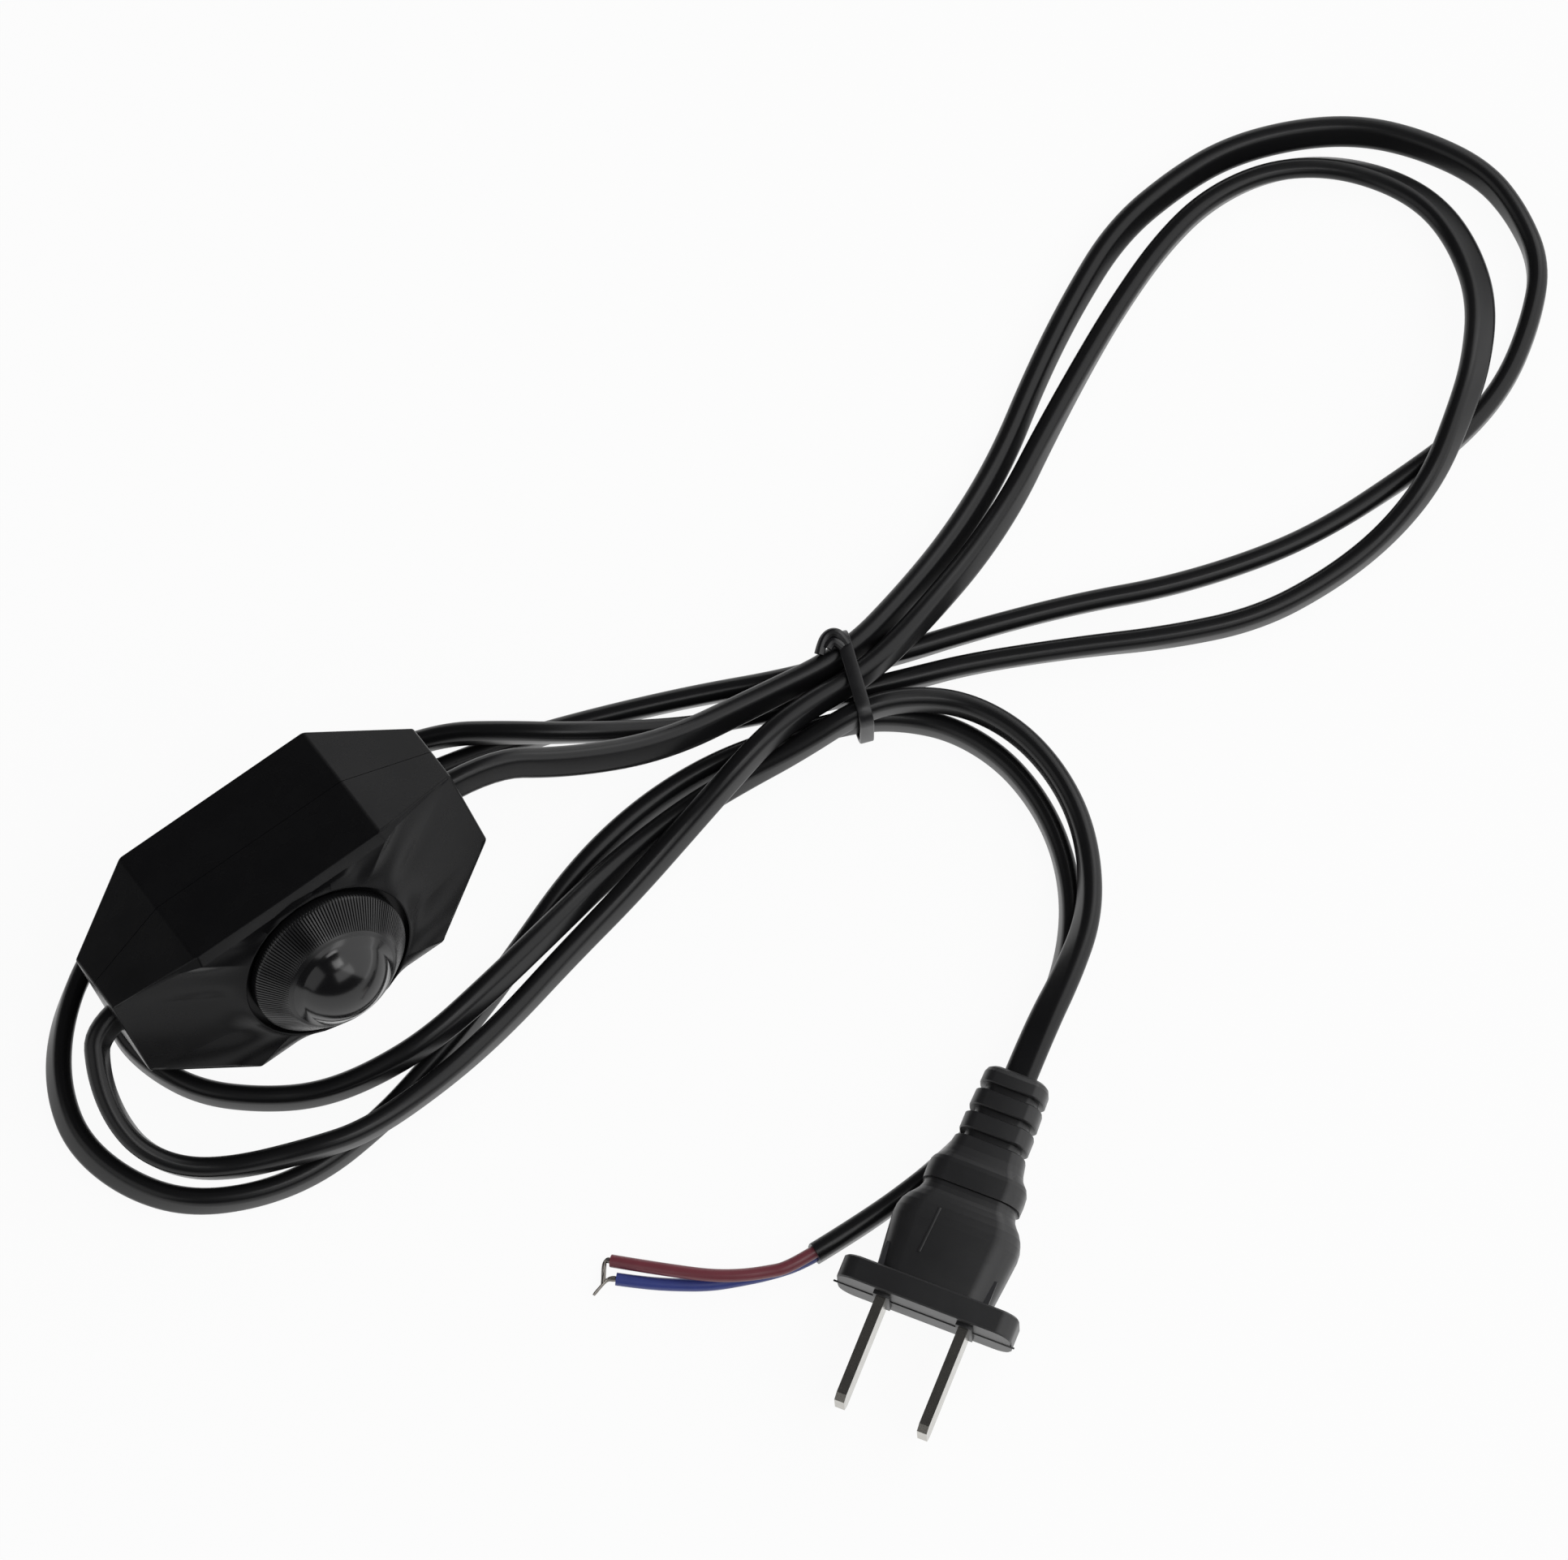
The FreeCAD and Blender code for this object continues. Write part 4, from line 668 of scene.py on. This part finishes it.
def drawnBack(stations, corner):
    # a plate pulled back from station to station, each with its own width and height
    before = stations[0]
    bm = roundedPlate(before[1], before[2], corner, plug["cornerSteps"])
    bmesh.ops.transform(bm, matrix=acrossX, verts=bm.verts)
    bmesh.ops.translate(bm, vec=(-before[0], 0, 0), verts=bm.verts)
    face = bm.faces[:][0]
    for station in stations[1:]:
        pulled = bmesh.ops.extrude_face_region(bm, geom=[face])
        face = [g for g in pulled["geom"] if isinstance(g, bmesh.types.BMFace)][0]
        verts = face.verts[:]
        bmesh.ops.translate(bm, vec=(before[0] - station[0], 0, 0), verts=verts)
        bmesh.ops.scale(bm, vec=(1, station[1] / before[1], station[2] / before[2]), verts=verts)
        before = station
    return bm


def plugBody():
    body = drawnBack(plug["flange"], plug["flangeCorner"])
    stations = plug["body"][:]
    back, high = stations[-1][0], plug["ringHigh"]
    for n, wide in enumerate(plug["ringWide"]):
        if n > 0:
            stations.append((back, wide, high))
        for start, wall in ((back, plug["grooveStart"]), (back + plug["grooveWide"], plug["grooveEnd"])):
            stations += [(start + behind, wide - slim, high - low) for behind, slim, low in wall]
        back += plug["grooveWide"] + plug["ringDeep"]
    stem = drawnBack(stations + plug["tail"], plug["bodyCorner"])
    mesh = bpy.data.meshes.new("stem")
    stem.to_mesh(mesh)
    stem.free()
    body.from_mesh(mesh)
    bpy.data.meshes.remove(mesh)
    made = finished(body, "plugBody", plugPlace, mouldedPvc, "base", sharp=32)
    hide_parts("plug_body")
    return made


def trimBox(bm, size, at, turned=0):
    box = bmesh.ops.create_cube(bm, size=1.0)["verts"]
    bmesh.ops.scale(bm, vec=size, verts=box)
    bmesh.ops.rotate(bm, verts=box, matrix=Matrix.Rotation(math.radians(turned), 3, "Z"))
    bmesh.ops.translate(bm, vec=at, verts=box)


def plugTrim():
    # moulding seam across the front face, a low collar at each blade's root, a short ridge on top
    bm = bmesh.new()
    trimBox(bm, plug["seamSize"], (0, 0, 0))
    for side in (-1, 1):
        trimBox(bm, plug["rootSize"], (plug["rootOut"], side * plug["rootSide"], 0))
    trimBox(bm, plug["ridgeSize"], plug["ridgeAt"], plug["ridgeTurn"])
    softened(bm, plug["trimEdge"], 2)
    return finished(bm, "plugTrim", plugPlace, mouldedPvc, "base")


plugShape = plugBody()
plugMarks = plugTrim()
print("plug made")

# tie round the hank
tie = {"wide": 2.1, "thick": 0.65, "half": 7.0, "low": 0.7, "top": 11.2, "corner": 2.4, "cornerSteps": 6,
       "edge": 0.22, "edgeSteps": 3, "edgeTurn": 60, "tailRadius": 0.75, "tailSides": 12,
       # the twisted ends: along the hank, out from the band's side and up from the middle of its top
       "tails": [[(0.3, -2.4, 0), (-0.2, -0.9, 0.5), (-1.2, -0.2, 0.6), (-2.3, -0.4, 0.4),
                  (-3.2, -1.3, 0.2), (-4.0, -2.7, -0.2)],
                 [(-0.4, -2.6, 0), (-1.0, -1.7, 0.3), (-1.9, -1.5, 0.3), (-2.6, -2.2, 0.1)]]}


def tieBand():
    bm = roundedPlate(2 * tie["half"], tie["top"] - tie["low"], tie["corner"], tie["cornerSteps"])
    bmesh.ops.transform(bm, matrix=acrossX, verts=bm.verts)
    bmesh.ops.translate(bm, vec=(-tie["wide"] / 2, 0, (tie["top"] + tie["low"]) / 2), verts=bm.verts)
    ring = bm.edges[:]
    bmesh.ops.delete(bm, geom=bm.faces[:], context="FACES_ONLY")
    grown = bmesh.ops.extrude_edge_only(bm, edges=ring)
    verts = [g for g in grown["geom"] if isinstance(g, bmesh.types.BMVert)]
    bmesh.ops.translate(bm, vec=(tie["wide"], 0, 0), verts=verts)
    bmesh.ops.recalc_face_normals(bm, faces=bm.faces)
    bmesh.ops.solidify(bm, geom=bm.faces[:], thickness=-tie["thick"])
    softened(bm, tie["edge"], tie["edgeSteps"], tie["edgeTurn"])
    made = finished(bm, "tieBand", tiePlace, tiePvc, "base")
    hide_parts("cord_tie")
    return made


def tieTails():
    section = roundSection("tailSection", tie["tailRadius"], tie["tailSides"])
    corner = Vector((0, tie["half"], tie["top"] + tie["thick"] / 2))
    ends = bmesh.new()
    for line in tie["tails"]:
        spots = [tuple(tiePlace @ (corner + Vector(p))) for p in line]
        tail = sweptCord("tail", spots, section, tiePvc)[0]
        ends.from_mesh(tail.data)
        bpy.data.objects.remove(tail)
    bpy.data.objects.remove(section)
    bmesh.ops.scale(ends, vec=(1 / mm,) * 3, verts=ends.verts)
    return finished(ends, "tieTails", Matrix(), tiePvc, "base")


band = tieBand()
tails = tieTails()
print("tie made")

# studio: white floor with a low curved edge far off, large soft boxes. Lengths in metres
studio = {"floorRadius": 3.4, "floorSides": 96, "edgeHigh": 0.25, "edgeWide": 0.4, "edgeSteps": 8,
          "below": 0.0001, "whiteShare": 0.94, "world": "#454547",
          # right, ahead and up from the hank's middle, wide, tall, watts
          "boxes": {"rightBox": (1.2, 0.075, 0.9, 2.2, 2.4, 19.5),
                    "aheadBox": (0.72, 1.0, 0.72, 1.0, 0.9, 3.6),
                    "leftBox": (-1.1, -0.75, 0.85, 1.8, 1.3, 4.6),
                    "nearBox": (0.62, -0.84, 0.94, 0.9, 0.5, 1.6),
                    "topBox": (0.3, -0.46, 1.2, 0.42, 0.34, 1.3),
                    "lowBox": (0.1, 1.95, 0.42, 1.6, 0.4, 3.4)}}


def paintedBoard():
    # flat white, no shine. Seen straight, mirrored or through a clear piece it is nearly pure white,
    # and it keeps a soft shadow
    material, tree, shader = newMaterial("paintedBoard", "#f3f3f2", 0.9, shine=0.1)
    rays = addNode(tree, "LightPath").outputs
    mirrored = addNode(tree, "Math", {"operation": "ADD"},
                       {0: rays["Is Camera Ray"], 1: rays["Is Glossy Ray"]})
    through = addNode(tree, "Math", {"operation": "ADD", "use_clamp": True},
                      {0: mirrored.outputs["Value"], 1: rays["Is Transmission Ray"]})
    partly = addNode(tree, "Math", {"operation": "MULTIPLY"}, {0: through.outputs["Value"]})
    partly.inputs[1].default_value = studio["whiteShare"]
    white = addNode(tree, "Emission", {"Strength": 1.0})
    blend = addNode(tree, "MixShader", {}, {0: partly.outputs["Value"], 1: shader.outputs["BSDF"],
                                            2: white.outputs["Emission"]})
    tree.links.new(blend.outputs["Shader"], tree.nodes["Material Output"].inputs["Surface"])
    return material


def studioFloor():
    bm = bmesh.new()
    bmesh.ops.create_circle(bm, cap_ends=True, radius=studio["floorRadius"], segments=studio["floorSides"])
    ring = [e for e in bm.edges if e.is_boundary]
    for n in range(1, studio["edgeSteps"] + 1):
        a = math.pi / 2 * n / studio["edgeSteps"]
        grown = bmesh.ops.extrude_edge_only(bm, edges=ring)
        verts = [g for g in grown["geom"] if isinstance(g, bmesh.types.BMVert)]
        ring = [g for g in grown["geom"] if isinstance(g, bmesh.types.BMEdge)]
        wide = (studio["floorRadius"] + studio["edgeWide"] * math.sin(a)) / verts[0].co.xy.length
        up = studio["edgeHigh"] * (1 - math.cos(a)) - verts[0].co.z
        bmesh.ops.scale(bm, vec=(wide, wide, 1), verts=verts)
        bmesh.ops.translate(bm, vec=(0, 0, up), verts=verts)
    mesh = bpy.data.meshes.new("floor")
    bm.to_mesh(mesh)
    bm.free()
    mesh.shade_smooth()
    mesh.materials.append(paintedBoard())
    floor = bpy.data.objects.new("floor", mesh)
    floor.location = (0, 0, -studio["below"])
    scene.collection.objects.link(floor)


def softBoxes():
    # each one faces the hank's middle
    for name, (right, ahead, up, wide, tall, watts) in studio["boxes"].items():
        lamp = bpy.data.lights.new(name, "AREA")
        lamp.shape = "RECTANGLE"
        lamp.size = wide
        lamp.size_y = tall
        lamp.energy = watts
        box = bpy.data.objects.new(name, lamp)
        box.location = target + pictureRight * right + pictureAhead * ahead + Vector((0, 0, up))
        box.rotation_mode = "QUATERNION"
        box.rotation_quaternion = (target - box.location).to_track_quat("-Z", "Y")
        scene.collection.objects.link(box)


studioFloor()
softBoxes()
world = bpy.data.worlds.new("studioWorld")
world.use_nodes = True
world.node_tree.nodes["Background"].inputs["Color"].default_value = linear(studio["world"])
scene.world = world
print("studio made")
